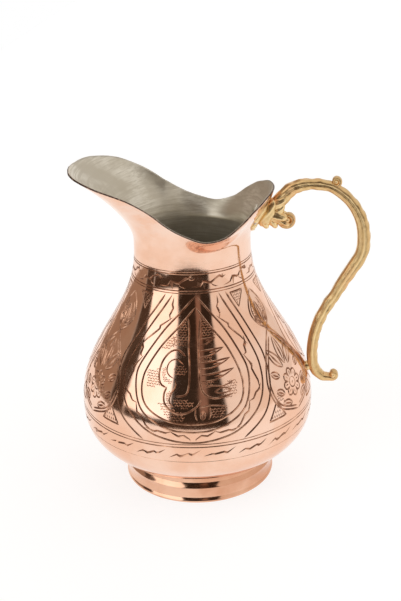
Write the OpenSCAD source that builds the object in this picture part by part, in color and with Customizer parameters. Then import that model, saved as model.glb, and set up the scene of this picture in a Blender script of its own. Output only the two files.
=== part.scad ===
// Copper water jug: a raised copper shell with a pouring lip, tinned inside,
// on a spun foot, with a cast brass handle riveted to the lip and the belly.
// Origin at the centre of the foot on the floor. Spout towards -X, handle towards +X.

/* [Body] */
// Widest diameter of the belly
belly_d = 160; // [125:1:200]
// Height of the widest part above the floor
belly_z = 59; // [46:1:75]
// Outer diameter of the neck
neck_d = 78; // [62:1:96]
// Height at which the neck ends and the lip begins to open
neck_z = 175; // [145:1:220]
// Thickness of the copper sheet
sheet_t = 1; // [0.7:0.1:1.4]
// Thickness of the tin wiped over the inside
tin_t = 0.3; // [0.2:0.05:0.5]

/* [Lip and spout] */
// Distance from the axis to the tip of the spout
spout_reach = 80; // [66:1:96]
// Height of the spout's tip above the end of the neck
spout_rise = 47; // [38:1:58]
// Distance from the axis to the back of the lip
back_reach = 55; // [48:1:66]
// Height of the back of the lip above the end of the neck
back_rise = 33; // [27:1:42]
// Height of the lowest place of the rim above the end of the neck
saddle_rise = 10.5; // [8:0.5:14]

/* [Foot] */
// Diameter of the foot where it rests
foot_d = 105; // [90:1:126]
// Height of the foot up to the bowl
foot_h = 18; // [15:1:22]
// Height of the ridge around the foot
ridge_z = 11; // [9:0.5:12.5]
// Thickness of the foot's sheet
foot_t = 1.2; // [0.9:0.1:1.6]

/* [Handle] */
// How far the handle bows out past the line between its two joints
handle_reach = 51.5; // [43:0.5:62]
// Thickness of the handle at its outermost place
handle_t = 8.8; // [7:0.1:10.5]
// Width of the handle across the jug
handle_w = 8.4; // [7:0.1:10.5]
// Height of the lower joint on the belly
joint_z = 80; // [76:1:88]
// Thickness of the leaf plate against the lip
plate_t = 2.4; // [2:0.1:3]
// Outer radius of the scroll under the top of the handle
scroll_r = 5.8; // [4.8:0.1:7]
// Outer radius of the curl at the handle's lower end
curl_r = 5; // [4.2:0.1:6]
// Outer radius of the thumb curl
thumb_r = 4; // [3.4:0.1:4.8]

/* [Rivets] */
// Diameter of the rivet shanks
rivet_d = 3; // [2.5:0.1:3.6]
// Diameter of the rivet heads
rivet_head_d = 6; // [5:0.1:7]
// Height of the domed rivet heads
rivet_head_h = 1.4; // [1.1:0.1:1.7]
// Gap all round a rivet in its hole
rivet_gap = 0.1; // [0.05:0.05:0.2]

/* [Hidden] */

// Columns round the shell, and rows up the bowl, the shoulder and the lip
columns = 48;
bowl_rows = 6;
shoulder_rows = 11;
lip_rows = 8;
step_a = 360 / columns;

belly_r = belly_d / 2;
neck_r = neck_d / 2;
foot_r = foot_d / 2;
// The foot's collar is drawn in below the bowl, and the ridge stands a little proud
collar_r = foot_r - 2.5;
ridge_r = foot_r - 0.5;
wall_r = foot_r - 1.3;
seat_slope = 0.52;
// The bottom disc under the bowl
dish_r = collar_r - 12;
dish_drop = 3.8;
seat_in = 5;

// Shape of the bowl and of the shoulder between the belly and the neck
bowl_power = 2.7;
shoulder_in = 2.1;
shoulder_out = 3;

// The rim: angle from the handle side, share of the radius between back and spout
// shape, and share of the rise. Between the entries it runs in smooth curves.
rim_turns = [0, 20, 38, 49, 60, 74, 90, 104, 120, 132, 144, 160, 180];
rim_radii = [back_reach, back_reach - 0.2, back_reach + 0.1, back_reach + 0.2, neck_r + 13,
             neck_r + 8.5, neck_r + 5.4, neck_r + 4.8, neck_r + 6.5,
             neck_r + 0.38 * (spout_reach - neck_r), neck_r + 0.71 * (spout_reach - neck_r),
             neck_r + 0.93 * (spout_reach - neck_r), spout_reach];
rim_rises = [back_rise, 0.97 * back_rise, 0.82 * back_rise, saddle_rise + 0.47 * (back_rise - saddle_rise),
             saddle_rise + 0.13 * (back_rise - saddle_rise), saddle_rise,
             saddle_rise + 0.1 * (spout_rise - saddle_rise),
             saddle_rise + 0.24 * (spout_rise - saddle_rise),
             saddle_rise + 0.46 * (spout_rise - saddle_rise),
             saddle_rise + 0.69 * (spout_rise - saddle_rise),
             saddle_rise + 0.88 * (spout_rise - saddle_rise),
             saddle_rise + 0.985 * (spout_rise - saddle_rise), spout_rise];

// Smooth curve through equally weighted values, s from 0 to the last index
function blend4(a, b, c, d, t) =
    0.5 * (2 * b + (c - a) * t + (2 * a - 5 * b + 4 * c - d) * t * t
           + (3 * b - 3 * c + d - a) * t * t * t);
function along(v, s) =
    let (n = len(v) - 1, i = min(floor(s), n - 1), t = s - i)
    blend4(v[max(i - 1, 0)], v[i], v[i + 1], v[min(i + 2, n)], t);
function place(v, x, i = 0) = x <= v[i + 1] || i == len(v) - 2 ? i + (x - v[i]) / (v[i + 1] - v[i])
                                                             : place(v, x, i + 1);
// Angle folded on to the half turn from the handle (0) to the spout (180)
function fold(a) = abs(a - 360 * round(a / 360));
function rim_r(a) = along(rim_radii, place(rim_turns, fold(a)));
function rim_z(a) = neck_z + along(rim_rises, place(rim_turns, fold(a)));

// Outer radius of the shell from the foot to the neck
function bowl_u(z) = (z - foot_h) / (belly_z - foot_h);
function shoulder_v(z) = (z - belly_z) / (neck_z - belly_z);
function body_r(z) = z < belly_z
    ? collar_r + (belly_r - collar_r) * (1 - pow(1 - bowl_u(z), bowl_power))
    : neck_r + (belly_r - neck_r) * pow(1 - pow(shoulder_v(z), shoulder_in), shoulder_out);

// The lip at an angle: a curve from the top of the neck to the rim, [radius, height]
function bezier(p, t) =
    pow(1 - t, 3) * p[0] + 3 * pow(1 - t, 2) * t * p[1] + 3 * (1 - t) * t * t * p[2] + t * t * t * p[3];
function lip_bend(a) = 0.32 - 0.22 * cos(a);
function lip_path(a) =
    let (r = rim_r(a), z = rim_z(a), k = lip_bend(a))
    [[neck_r, neck_z], [neck_r, neck_z + 0.3 * (z - neck_z)],
     [r - k * (r - neck_r), z - 0.3 * (z - neck_z)], [r, z]];
function lip(a, t) = bezier(lip_path(a), t);

// The meridian at an angle, [radius, height], numbered from the dish up to the rim
rows = 2 + bowl_rows + shoulder_rows + lip_rows;
lip_row = 2 + bowl_rows + shoulder_rows;
function bowl_height(i) = foot_h + (belly_z - foot_h) * pow(i / bowl_rows, 1.4);
function meridian(a, i) =
    i == 0 ? [dish_r, foot_h - dish_drop]
    : i == 1 ? [collar_r - seat_in, foot_h - seat_in * seat_slope]
    : i < 2 + bowl_rows ? let (z = bowl_height(i - 2)) [body_r(z), z]
    : i < lip_row ? let (z = belly_z + (neck_z - belly_z) * (i - 2 - bowl_rows) / shoulder_rows) [body_r(z), z]
    : lip(a, (i - lip_row) / lip_rows);
// The same meridian moved inwards (positive) or outwards (negative) by a depth
function unit(v) = v / norm(v);
function inward(a, i) =
    i == 0 ? [0, 1]
    : let (d = unit(meridian(a, min(i + 1, rows)) - meridian(a, i - 1))) [-d[1], d[0]];
function layer(a, i, depth) = meridian(a, i) + depth * inward(a, i);
function turned(p, a) = [p[0] * cos(a), p[0] * sin(a), p[1]];

// A closed skin between two depths of the shell
module skin(depth_out, depth_in) {
    n = rows + 1;
    points = [for (side = [0, 1]) for (i = [0:rows]) for (c = [0:columns - 1])
        turned(layer(c * step_a, i, side == 0 ? depth_out : depth_in), c * step_a)];
    function id(side, i, c) = (side * n + i) * columns + c % columns;
    sheets = [for (i = [0:rows - 1]) for (c = [0:columns - 1]) each [
        [id(0, i, c), id(0, i + 1, c + 1), id(0, i, c + 1)],
        [id(0, i, c), id(0, i + 1, c), id(0, i + 1, c + 1)],
        [id(1, i, c), id(1, i, c + 1), id(1, i + 1, c + 1)],
        [id(1, i, c), id(1, i + 1, c + 1), id(1, i + 1, c)]]];
    edge = [for (c = [0:columns - 1]) each [
        [id(0, rows, c), id(1, rows, c), id(0, rows, c + 1)],
        [id(1, rows, c), id(1, rows, c + 1), id(0, rows, c + 1)]]];
    disc_out = [for (c = [0:columns - 1]) id(0, 0, c)];
    disc_in = [for (c = [0:columns - 1]) id(1, 0, columns - 1 - c)];
    polyhedron(points, concat(sheets, edge, [disc_out, disc_in]), convexity = 8);
}

// A bar swept through [x, z, half thickness, half width] in the plane of the handle
bar_sides = 12;
module bar(path) {
    n = len(path);
    points = [for (i = [0:n - 1])
        let (a = path[max(i - 1, 0)], b = path[min(i + 1, n - 1)], d = unit([b[0] - a[0], b[1] - a[1]]))
        for (k = [0:bar_sides - 1])
        let (h = path[i][2] * cos(k * 360 / bar_sides), w = -path[i][3] * sin(k * 360 / bar_sides))
        [path[i][0] - d[1] * h, w, path[i][1] + d[0] * h]];
    function id(i, k) = i * bar_sides + k % bar_sides;
    sides = [for (i = [0:n - 2]) for (k = [0:bar_sides - 1]) each [
        [id(i, k), id(i + 1, k + 1), id(i, k + 1)], [id(i, k), id(i + 1, k), id(i + 1, k + 1)]]];
    caps = [[for (k = [0:bar_sides - 1]) id(0, k)],
            [for (k = [0:bar_sides - 1]) id(n - 1, bar_sides - 1 - k)]];
    polyhedron(points, concat(sides, caps), convexity = 8);
}

// Rows and columns of the lip that the leaf plate covers
plate_rows = [1, 6];
plate_columns = 3;

// Where the handle is joined: on the plate behind the lip, and on the belly
root_t = 0.6;
joint_top = lip(0, root_t) + [8.4, 2.8];
// The joint sits on the flat facet between two rows of the shoulder
row_h = (neck_z - belly_z) / shoulder_rows;
joint_row_z = belly_z + row_h * floor((joint_z - belly_z) / row_h);
joint_r = body_r(joint_row_z)
    + (body_r(joint_row_z + row_h) - body_r(joint_row_z)) * (joint_z - joint_row_z) / row_h;
belly_point = [joint_r, joint_z];
belly_normal = unit([1, (body_r(joint_z - 1) - body_r(joint_z + 1)) / 2]);
// The boss that meets the belly, and the middle of the handle behind it
boss_r = 3.4;
boss_l = 1.2;
end_t = 7.5;
joint_low = belly_point + (boss_l + end_t / 2) * belly_normal;

// The handle's line: share of the bow, share of the way down, thickness factor
handle_line = [[0, 0, 1.1], [0.18, -0.07, 1.05], [0.33, -0.1, 0.9], [0.53, -0.107, 0.82],
    [0.72, -0.09, 0.82], [0.86, -0.04, 0.84], [0.955, 0.025, 0.88], [1.005, 0.11, 0.95], [0.99, 0.21, 1],
    [0.925, 0.3, 1], [0.79, 0.38, 1], [0.63, 0.465, 0.94], [0.475, 0.555, 0.88],
    [0.315, 0.64, 0.86], [0.18, 0.73, 0.87], [0.09, 0.815, 0.86], [0.03, 0.91, 0.86], [0, 1, 0.86]];
function handle_at(s) =
    let (u = along([for (p = handle_line) p[0]], s), v = along([for (p = handle_line) p[1]], s),
         k = along([for (p = handle_line) p[2]], s), j = joint_top + v * (joint_low - joint_top))
    [j[0] + u * handle_reach, j[1], k * handle_t / 2, min(1, k + 0.05) * handle_w / 2];

// A curl: a bar wound round a centre from one angle to another, tapering
function curl(centre, r_out, from, to, thick, width, steps) =
    [for (i = [0:steps]) let (s = i / steps, a = from + s * (to - from), r = (r_out - thick) * (1 - 0.5 * s))
        [centre[0] + r * cos(a), centre[1] + r * sin(a), thick * (1 - 0.55 * s), width]];

// The curls: half thickness and half width of their bars, and their centres
curl_bar_t = 2.3;
curl_bar_w = 0.45 * handle_w;
thumb_bar_t = 1.5;
thumb_bar_w = 0.36 * handle_w;
curl_centre = joint_low + [13.2, -7.6];
thumb_centre = joint_top + [38.7, 14.4];
scroll_centre = joint_top + [6.3, -11];
// The scroll's bar winds this far outside its radius where it leaves the handle
scroll_start = 1.2;
arm_steps = 3;
arm_count = (len(handle_line) - 1) * arm_steps;

root = lip(0, root_t);
root_bar_t = 0.56 * handle_t;
root_bar_w = 0.52 * handle_w;
tail_bar_w = 0.46 * handle_w;
arm = concat([[root[0], root[1], root_bar_t, root_bar_w]],
    [for (i = [0:arm_count]) handle_at(i / arm_steps)],
    [[joint_low[0] + 2.2, joint_low[1] - 5.2, 3.5, tail_bar_w],
     [joint_low[0] + 6, joint_low[1] - 9.4, 3, tail_bar_w]],
    curl(curl_centre, curl_r, 240, 530, curl_bar_t, curl_bar_w, 14));
scroll = concat([[joint_top[0] + 1.8, joint_top[1] - 1, 2.6, curl_bar_w]],
    curl(scroll_centre, scroll_r + scroll_start, 150, 450, curl_bar_t, curl_bar_w, 18));
thumb = curl(thumb_centre, thumb_r, 250, 550, thumb_bar_t, thumb_bar_w, 14);

// Rivets through the plate, set square to the lip
rivet_row = 3;
rivet_turn = 2.4 * step_a;
// How far a flat facet lies inside the round skin at an angle, as a share of the radius
function facet(a) = cos(step_a / 2) / cos(a - step_a * (floor(a / step_a) + 0.5));
// Gap left under a rivet head, because the lining curves towards its edge
rivet_seat = 0.25;
// How far the shank runs into the head
rivet_root = 0.6;
module at_lip_rivet(side) {
    a = side * rivet_turn;
    p = (meridian(a, rivet_row + lip_row) + meridian(a, rivet_row + 1 + lip_row)) / 2;
    d = unit(meridian(a, rivet_row + 1 + lip_row) - meridian(a, rivet_row + lip_row));
    rotate([0, 0, a])
        translate([p[0] * facet(a), 0, p[1]])
            rotate([0, 90 - atan2(-d[0], d[1]), 0])
                children();
}
module at_belly_rivet() {
    translate([belly_point[0], 0, belly_point[1]])
        rotate([0, 90 - atan2(belly_normal[1], belly_normal[0]), 0])
            children();
}

// A rivet standing on the outer surface at zero, its shank up to a length, head inside
inner_face = -(sheet_t + tin_t);
rivet_crown_d = 0.62 * rivet_head_d;
module rivet(length) {
    translate([0, 0, inner_face - rivet_root])
        cylinder(d = rivet_d, h = length - inner_face + rivet_root, $fn = 32);
    translate([0, 0, inner_face - rivet_seat - rivet_head_h])
        cylinder(d1 = rivet_crown_d, d2 = rivet_head_d, h = rivet_head_h, $fn = 32);
}
module rivet_hole(length) {
    translate([0, 0, inner_face - 2 * rivet_head_h])
        cylinder(d = rivet_d + 2 * rivet_gap, h = length - inner_face + 2 * rivet_head_h, $fn = 32);
}
upper_rivet_l = plate_t;
// How deep the lower rivet runs into the handle's end
lower_grip = 3.6;
lower_rivet_l = boss_l + lower_grip;

module rivet_holes() {
    for (side = [-1, 1])
        at_lip_rivet(side) rivet_hole(upper_rivet_l + 2);
    at_belly_rivet() rivet_hole(lower_rivet_l + 0.2);
}

module body_shell() {
    color("#c98462")
        difference() {
            skin(0, sheet_t);
            rivet_holes();
        }
}

module tin_lining() {
    color("#b9b3a6")
        difference() {
            skin(sheet_t, sheet_t + tin_t);
            rivet_holes();
        }
}

// Half section of the foot: its outside, then back down its inside
foot_outline = [[foot_r - 0.5, 0], [foot_r, 0.6], [foot_r, 1.6], [foot_r - 0.6, 2.4], [wall_r, 4.2],
    [wall_r, ridge_z - 3], [ridge_r - 0.3, ridge_z - 0.8], [ridge_r, ridge_z], [ridge_r - 0.7, ridge_z + 0.8],
    [collar_r + 0.1, ridge_z + (foot_h - ridge_z) * 0.4],
    [collar_r - 0.3, ridge_z + (foot_h - ridge_z) * 0.7], [collar_r, foot_h]];
module foot_ring() {
    inside = [for (i = [len(foot_outline) - 2:-1:1]) foot_outline[i] - [foot_t, 0]];
    color("#cf8a66")
        rotate_extrude($fn = 96)
            polygon(concat(foot_outline, [[collar_r - foot_t, foot_h - foot_t * seat_slope]],
                inside, [[foot_r - 0.5 - foot_t, 0]]));
}

// Bead of solder in the corner between the foot's inside and the bottom
bead = 2.3;
bead_gap = 0.1;
module foot_solder() {
    corner = [collar_r - foot_t, foot_h - foot_t * seat_slope];
    waist = foot_outline[len(foot_outline) - 2] - [foot_t, 0];
    color("#8f8b84")
        rotate_extrude($fn = 96)
            polygon([corner + bead_gap / (corner[1] - waist[1]) * (waist - corner),
                corner - [bead, bead * seat_slope + bead_gap], waist]);
}

// A patch of the back of the lip, between two depths of the shell
module patch(first, last, reach, near, far) {
    across = 2 * reach + 1;
    up = last - first + 1;
    points = [for (side = [0, 1]) for (i = [first:last]) for (c = [-reach:reach])
        turned(layer(c * step_a, lip_row + i, side == 0 ? near : far), c * step_a)];
    function id(side, i, c) = (side * up + i) * across + c;
    sheets = [for (i = [0:up - 2]) for (c = [0:across - 2]) each [
        [id(0, i, c), id(0, i, c + 1), id(0, i + 1, c + 1)], [id(0, i, c), id(0, i + 1, c + 1), id(0, i + 1, c)],
        [id(1, i, c), id(1, i + 1, c + 1), id(1, i, c + 1)], [id(1, i, c), id(1, i + 1, c), id(1, i + 1, c + 1)]]];
    ends = [for (i = [0:up - 2]) each [
        [id(0, i, 0), id(0, i + 1, 0), id(1, i, 0)], [id(1, i, 0), id(0, i + 1, 0), id(1, i + 1, 0)],
        [id(0, i, across - 1), id(1, i, across - 1), id(0, i + 1, across - 1)],
        [id(1, i, across - 1), id(1, i + 1, across - 1), id(0, i + 1, across - 1)]]];
    brims = [for (c = [0:across - 2]) each [
        [id(0, 0, c), id(1, 0, c), id(0, 0, c + 1)], [id(1, 0, c), id(1, 0, c + 1), id(0, 0, c + 1)],
        [id(0, up - 1, c), id(0, up - 1, c + 1), id(1, up - 1, c)],
        [id(1, up - 1, c), id(0, up - 1, c + 1), id(1, up - 1, c + 1)]]];
    polyhedron(points, concat(sheets, ends, brims), convexity = 6);
}

module handle() {
    color("#c9a24b")
        difference() {
            union() {
                patch(plate_rows[0], plate_rows[1], plate_columns, 0, -plate_t);
                bar(arm);
                bar(scroll);
                bar(thumb);
                at_belly_rivet()
                    cylinder(r = boss_r, h = boss_l + 2, $fn = 32);
            }
            patch(0, lip_rows, plate_columns + 1, handle_t, 0);
            rivet_holes();
        }
}

module upper_rivets() {
    color("#b9b3a6")
        for (side = [-1, 1])
            at_lip_rivet(side) rivet(upper_rivet_l);
}

module lower_rivet() {
    color("#b9b3a6")
        at_belly_rivet() rivet(lower_rivet_l);
}

body_shell();
tin_lining();
foot_ring();
foot_solder();
handle();
upper_rivets();
lower_rivet();
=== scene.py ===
"""A copper water jug with a cast brass handle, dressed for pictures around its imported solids."""
import logging
import math
from dataclasses import dataclass
from enum import Enum

import bpy
import numpy as np
from mathutils import Matrix, Vector
from mathutils.geometry import delaunay_2d_cdt
from mathutils.kdtree import KDTree


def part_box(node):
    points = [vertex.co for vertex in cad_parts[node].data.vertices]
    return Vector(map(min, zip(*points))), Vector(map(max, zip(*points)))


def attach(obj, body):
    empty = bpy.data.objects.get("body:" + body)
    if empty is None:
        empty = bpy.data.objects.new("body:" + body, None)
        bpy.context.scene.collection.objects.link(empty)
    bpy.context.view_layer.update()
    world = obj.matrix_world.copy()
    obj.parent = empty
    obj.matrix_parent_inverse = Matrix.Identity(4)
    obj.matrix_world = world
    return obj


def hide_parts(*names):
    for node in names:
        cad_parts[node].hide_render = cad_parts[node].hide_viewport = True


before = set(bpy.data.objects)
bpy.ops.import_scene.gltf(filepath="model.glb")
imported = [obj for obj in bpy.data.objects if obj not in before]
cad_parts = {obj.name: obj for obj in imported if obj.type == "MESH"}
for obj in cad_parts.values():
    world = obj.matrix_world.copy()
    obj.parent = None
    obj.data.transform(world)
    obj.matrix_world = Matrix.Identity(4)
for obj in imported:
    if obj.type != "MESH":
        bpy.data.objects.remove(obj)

LOG = logging.getLogger("jug")
MM = 0.001
Points = list[tuple[float, ...]]


class Slot(Enum):
    """Names for the pieces' material slots."""

    COPPER = "copper"
    TIN = "tin"
    SOLDER = "solder"
    BRASS = "cast_brass"


# ---------------------------------------------------------------- shader tools


class Wire:
    """A socket that takes part in Python sums."""

    def __init__(self, bench: "Bench", socket: bpy.types.NodeSocket) -> None:
        """Wraps one output socket.

        Args:
            bench: The node tree's helper.
            socket: The output socket.
        """
        self.bench = bench
        self.socket = socket

    def _sum(self, operation: str, first: object, second: object) -> "Wire":
        """Adds one Math node."""
        return self.bench.wire("ShaderNodeMath", {"operation": operation}, {0: first, 1: second})

    def __add__(self, other: object) -> "Wire":
        """self + other."""
        return self._sum("ADD", self, other)

    def __radd__(self, other: object) -> "Wire":
        """other + self."""
        return self._sum("ADD", other, self)

    def __sub__(self, other: object) -> "Wire":
        """self - other."""
        return self._sum("SUBTRACT", self, other)

    def __rsub__(self, other: object) -> "Wire":
        """other - self."""
        return self._sum("SUBTRACT", other, self)

    def __mul__(self, other: object) -> "Wire":
        """self * other."""
        return self._sum("MULTIPLY", self, other)

    def __rmul__(self, other: object) -> "Wire":
        """other * self."""
        return self._sum("MULTIPLY", other, self)

    def step(self, low: float, high: float) -> "Wire":
        """A soft step from 0 at low to 1 at high.

        Args:
            low: Where the step begins.
            high: Where it ends.

        Returns:
            The step's wire.
        """
        settings = {"interpolation_type": "SMOOTHSTEP"}
        sockets = {"Value": self, "From Min": low, "From Max": high}
        return self.bench.wire("ShaderNodeMapRange", settings, sockets)

    def between(self, low: tuple[float, float], high: tuple[float, float]) -> "Wire":
        """1 between two soft steps, and 0 outside them."""
        return self.step(*low) * (1.0 - self.step(*high))


class Bench:
    """Builds the nodes of one material or world."""

    def __init__(self, owner: bpy.types.ID) -> None:
        """Empties the owner's node tree.

        Args:
            owner: A material or a world.
        """
        owner.use_nodes = True
        self.tree = owner.node_tree
        self.tree.nodes.clear()

    def node(self, kind: str, settings: dict | None = None,
             sockets: dict | None = None) -> bpy.types.Node:
        """Adds one node.

        Args:
            kind: The node's type.
            settings: Its own settings; "stops" are a ramp's places and colours.
            sockets: Values or wires for its inputs, by name or number.

        Returns:
            The node.
        """
        made = self.tree.nodes.new(kind)
        for name, value in (settings or {}).items():
            if name == "stops":
                ramp = made.color_ramp.elements
                while len(ramp) < len(value):
                    ramp.new(0.5)
                for stop, (place, colour) in zip(ramp, value):
                    stop.position = place
                    stop.color = (*colour, 1.0)
            else:
                setattr(made, name, value)
        for name, value in (sockets or {}).items():
            if isinstance(value, Wire):
                self.tree.links.new(value.socket, made.inputs[name])
            elif value is not None:
                made.inputs[name].default_value = value
        return made

    def wire(self, kind: str, settings: dict | None = None, sockets: dict | None = None,
             output: str | int = 0) -> Wire:
        """Adds one node and returns the wire of one of its outputs."""
        return Wire(self, self.node(kind, settings, sockets).outputs[output])

    def here(self) -> Wire:
        """The place in the object's own metres."""
        return self.wire("ShaderNodeTexCoord", None, None, "Object")

    def parts(self, vector: Wire) -> tuple[Wire, Wire, Wire]:
        """Splits a vector into its three wires."""
        split = self.node("ShaderNodeSeparateXYZ", None, {0: vector})
        return tuple(Wire(self, output) for output in split.outputs)

    def vector(self, x: object, y: object, z: object) -> Wire:
        """Joins three wires or numbers into a vector."""
        return self.wire("ShaderNodeCombineXYZ", None, {0: x, 1: y, 2: z})

    def noise(self, where: Wire, scale: float, detail: float = 3.0, rough: float = 0.55) -> Wire:
        """Cloudy values from 0 to 1.

        Args:
            where: The place it is read at.
            scale: Clouds per metre.
            detail: How many finer layers are added.
            rough: How strong the finer layers are.

        Returns:
            The value's wire.
        """
        sockets = {"Vector": where, "Scale": scale, "Detail": detail, "Roughness": rough}
        return self.wire("ShaderNodeTexNoise", None, sockets, 0)

    def blend(self, share: object, first: object, second: object) -> Wire:
        """Mixes two colours by a share from 0 to 1."""
        made = self.node("ShaderNodeMix", {"data_type": "RGBA"}, {0: share, 6: first, 7: second})
        return Wire(self, made.outputs[2])

    def bump(self, height: Wire, depth: float, strength: float = 1.0,
             after: Wire | None = None) -> Wire:
        """Turns a height from 0 to 1 into a bent normal.

        Args:
            height: The height's wire.
            depth: How many metres a height of 1 stands proud.
            strength: How much of it is used.
            after: An earlier bump that this one is added to.

        Returns:
            The normal's wire.
        """
        sockets = {"Height": height, "Distance": depth, "Strength": strength, "Normal": after}
        return self.wire("ShaderNodeBump", None, sockets)

    def metal(self, colour: object, rough: object, normal: Wire | None = None,
              metallic: object = 1.0) -> None:
        """Ends the material in one metal surface.

        Args:
            colour: The colour, or its wire.
            rough: The roughness, or its wire.
            normal: The bent normal, if any.
            metallic: How metallic it is.
        """
        sockets = {"Base Color": colour, "Roughness": rough, "Metallic": metallic, "Normal": normal}
        self.end("ShaderNodeOutputMaterial", self.node("ShaderNodeBsdfPrincipled", None, sockets))

    def end(self, kind: str, shader: bpy.types.Node) -> None:
        """Joins the last shader to an output node of a kind."""
        self.tree.links.new(shader.outputs[0], self.node(kind).inputs[0])


def solid(red: float, green: float, blue: float) -> tuple[float, float, float, float]:
    """A plain colour with full cover."""
    return red, green, blue, 1.0


# ------------------------------------------------------------------- finishes


@dataclass(frozen=True)
class Finish:
    """A finish of the jug: each kind adds its own nodes."""

    name: str = "finish"

    def material(self) -> bpy.types.Material:
        """Builds the finish's material.

        Returns:
            The material.
        """
        made = bpy.data.materials.new(self.name)
        bench = Bench(made)
        self.lay(bench, bench.here())
        return made

    def lay(self, bench: Bench, here: Wire) -> None:
        """Lays the finish's nodes on the bench, read at a place in the object's metres."""
        raise NotImplementedError(self.name)


@dataclass(frozen=True)
class PolishedCopper(Finish):
    """Raised copper, buffed round the axis, with a faint haze of handling."""

    name: str = "polished_copper"
    bright: tuple = (0.935, 0.645, 0.50)
    deep: tuple = (0.87, 0.52, 0.36)
    hazy: tuple = (0.93, 0.75, 0.65)
    rough_low: float = 0.075
    rough_high: float = 0.16

    def lay(self, bench: Bench, here: Wire) -> None:
        """Lays clouds of colour, smears, a haze on the lip and fine buffing lines.

        Args:
            bench: The node tree's helper.
            here: The place in the object's own metres.
        """
        x, y, z = bench.parts(here)
        clouds = bench.noise(here, 26.0, 4.0)
        smears = bench.noise(bench.vector(x * 0.6, y * 0.6, z * 1.7), 75.0, 5.0, 0.65)
        buffed = bench.noise(bench.vector(x * 0.03, y * 0.03, z), 2600.0, 3.0)
        # the flared lip is handled most, so its haze is strongest there
        handled = z.step(0.172, 0.205) * smears.step(0.36, 0.66)
        colour = bench.blend(clouds.step(0.36, 0.64), solid(*self.bright), solid(*self.deep))
        colour = bench.blend(handled * 0.6, colour, solid(*self.hazy))
        rough = self.rough_low + smears.step(0.42, 0.75) * (self.rough_high - self.rough_low)
        rough = rough + handled * 0.1
        uneven = bench.noise(here, 120.0, 1.5)
        normal = bench.bump(uneven, 0.00006, 0.5)
        normal = bench.bump(buffed, 0.000012, 0.5, normal)
        bench.metal(colour, rough, normal)


@dataclass(frozen=True)
class CutCopper(Finish):
    """Chisel cuts in the copper, with darker metal left in them."""

    name: str = "cut_copper"
    clean: tuple = (0.66, 0.38, 0.25)
    dark: tuple = (0.26, 0.12, 0.07)

    def lay(self, bench: Bench, here: Wire) -> None:
        """Lays dirt and a fine grain.

        Args:
            bench: The node tree's helper.
            here: The place in the object's own metres.
        """
        dirt = bench.noise(here, 160.0, 3.0).step(0.3, 0.7)
        colour = bench.blend(dirt, solid(*self.clean), solid(*self.dark))
        normal = bench.bump(bench.noise(here, 1900.0, 2.0), 0.00003, 0.6)
        bench.metal(colour, 0.2 + dirt * 0.2, normal)


@dataclass(frozen=True)
class WornEdge(Finish):
    """The cut edge of the lip, darkened and a little rough."""

    name: str = "worn_edge"
    light: tuple = (0.50, 0.34, 0.24)
    dark: tuple = (0.10, 0.06, 0.045)

    def lay(self, bench: Bench, here: Wire) -> None:
        """Lays dark metal with bright worn spots.

        Args:
            bench: The node tree's helper.
            here: The place in the object's own metres.
        """
        share = bench.noise(here, 520.0, 4.0).step(0.5, 0.74)
        colour = bench.blend(share, solid(*self.dark), solid(*self.light))
        bench.metal(colour, 0.42, bench.bump(bench.noise(here, 1400.0), 0.00008, 0.8))


@dataclass(frozen=True)
class WipedTin(Finish):
    """Tin wiped over the inside, scoured in circles, with painted shade making it darker towards the
    belly.
    """

    name: str = "wiped_tin"
    bright: tuple = (0.83, 0.785, 0.68)
    dull: tuple = (0.56, 0.505, 0.40)
    # deep: the colour of the painted shade inside the belly, also used for the specks
    deep: tuple = (0.44, 0.395, 0.31)

    def lay(self, bench: Bench, here: Wire) -> None:
        """Lays patches, scouring circles, a darker belly and specks.

        Args:
            Lays patches, scouring circles, painted shade on the belly and specks.
            here: The place in the object's own metres.
        """
        x, y, z = bench.parts(here)
        radius = bench.wire("ShaderNodeVectorMath", {"operation": "LENGTH"},
                            {0: bench.vector(x, y, 0.0)}, "Value")
        circles = bench.noise(bench.vector(x * 0.04, radius, z), 620.0, 5.0, 0.75)
        broad = bench.noise(bench.vector(x * 0.25, radius, z * 1.5), 120.0, 3.0)
        patches = bench.noise(here, 42.0, 3.0)
        colour = bench.blend(patches.step(0.35, 0.7), solid(*self.bright), solid(*self.dull))
        colour = bench.blend(circles.step(0.42, 0.62) * 0.85, colour, solid(*self.dull))
        # painted shade: below the neck the tin is blended towards the deep colour, standing in for
        # the shade inside the jug
        colour = bench.blend((1.0 - z.step(0.14, 0.2)) * 0.6, colour, solid(*self.deep))
        specks = bench.noise(here, 900.0, 2.0).step(0.72, 0.76)
        colour = bench.blend(specks * 0.7, colour, solid(*self.deep))
        rough = 0.3 + broad.step(0.3, 0.75) * 0.16
        normal = bench.bump(circles, 0.00012, 0.8)
        normal = bench.bump(broad, 0.0003, 0.5, normal)
        bench.metal(colour, rough, normal, 0.62)


@dataclass(frozen=True)
class CastBrass(Finish):
    """Sand cast brass, buffed on the high places, with copper-coloured stains."""

    name: str = "cast_brass"
    high: tuple = (0.93, 0.71, 0.38)
    low: tuple = (0.62, 0.39, 0.16)
    stain: tuple = (0.80, 0.46, 0.22)

    def lay(self, bench: Bench, here: Wire) -> None:
        """Lays a lumpy grain, darker hollows and stains.

        Args:
            bench: The node tree's helper.
            here: The place in the object's own metres.
        """
        grain = bench.noise(here, 620.0, 4.0, 0.6)
        lumps = bench.noise(here, 210.0, 3.0)
        stained = bench.noise(here, 40.0, 3.0).step(0.5, 0.66)
        hollow = bench.wire("ShaderNodeNewGeometry", None, None, "Pointiness").step(0.53, 0.46)
        colour = bench.blend(lumps.step(0.3, 0.75) * 0.32, solid(*self.high), solid(*self.low))
        colour = bench.blend(hollow * 0.8, colour, solid(*self.low))
        colour = bench.blend(stained * 0.55, colour, solid(*self.stain))
        rough = 0.28 + grain.step(0.35, 0.75) * 0.18
        normal = bench.bump(lumps, 0.0005, 0.7)
        normal = bench.bump(grain, 0.00016, 0.7, normal)
        bench.metal(colour, rough, normal)


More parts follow.
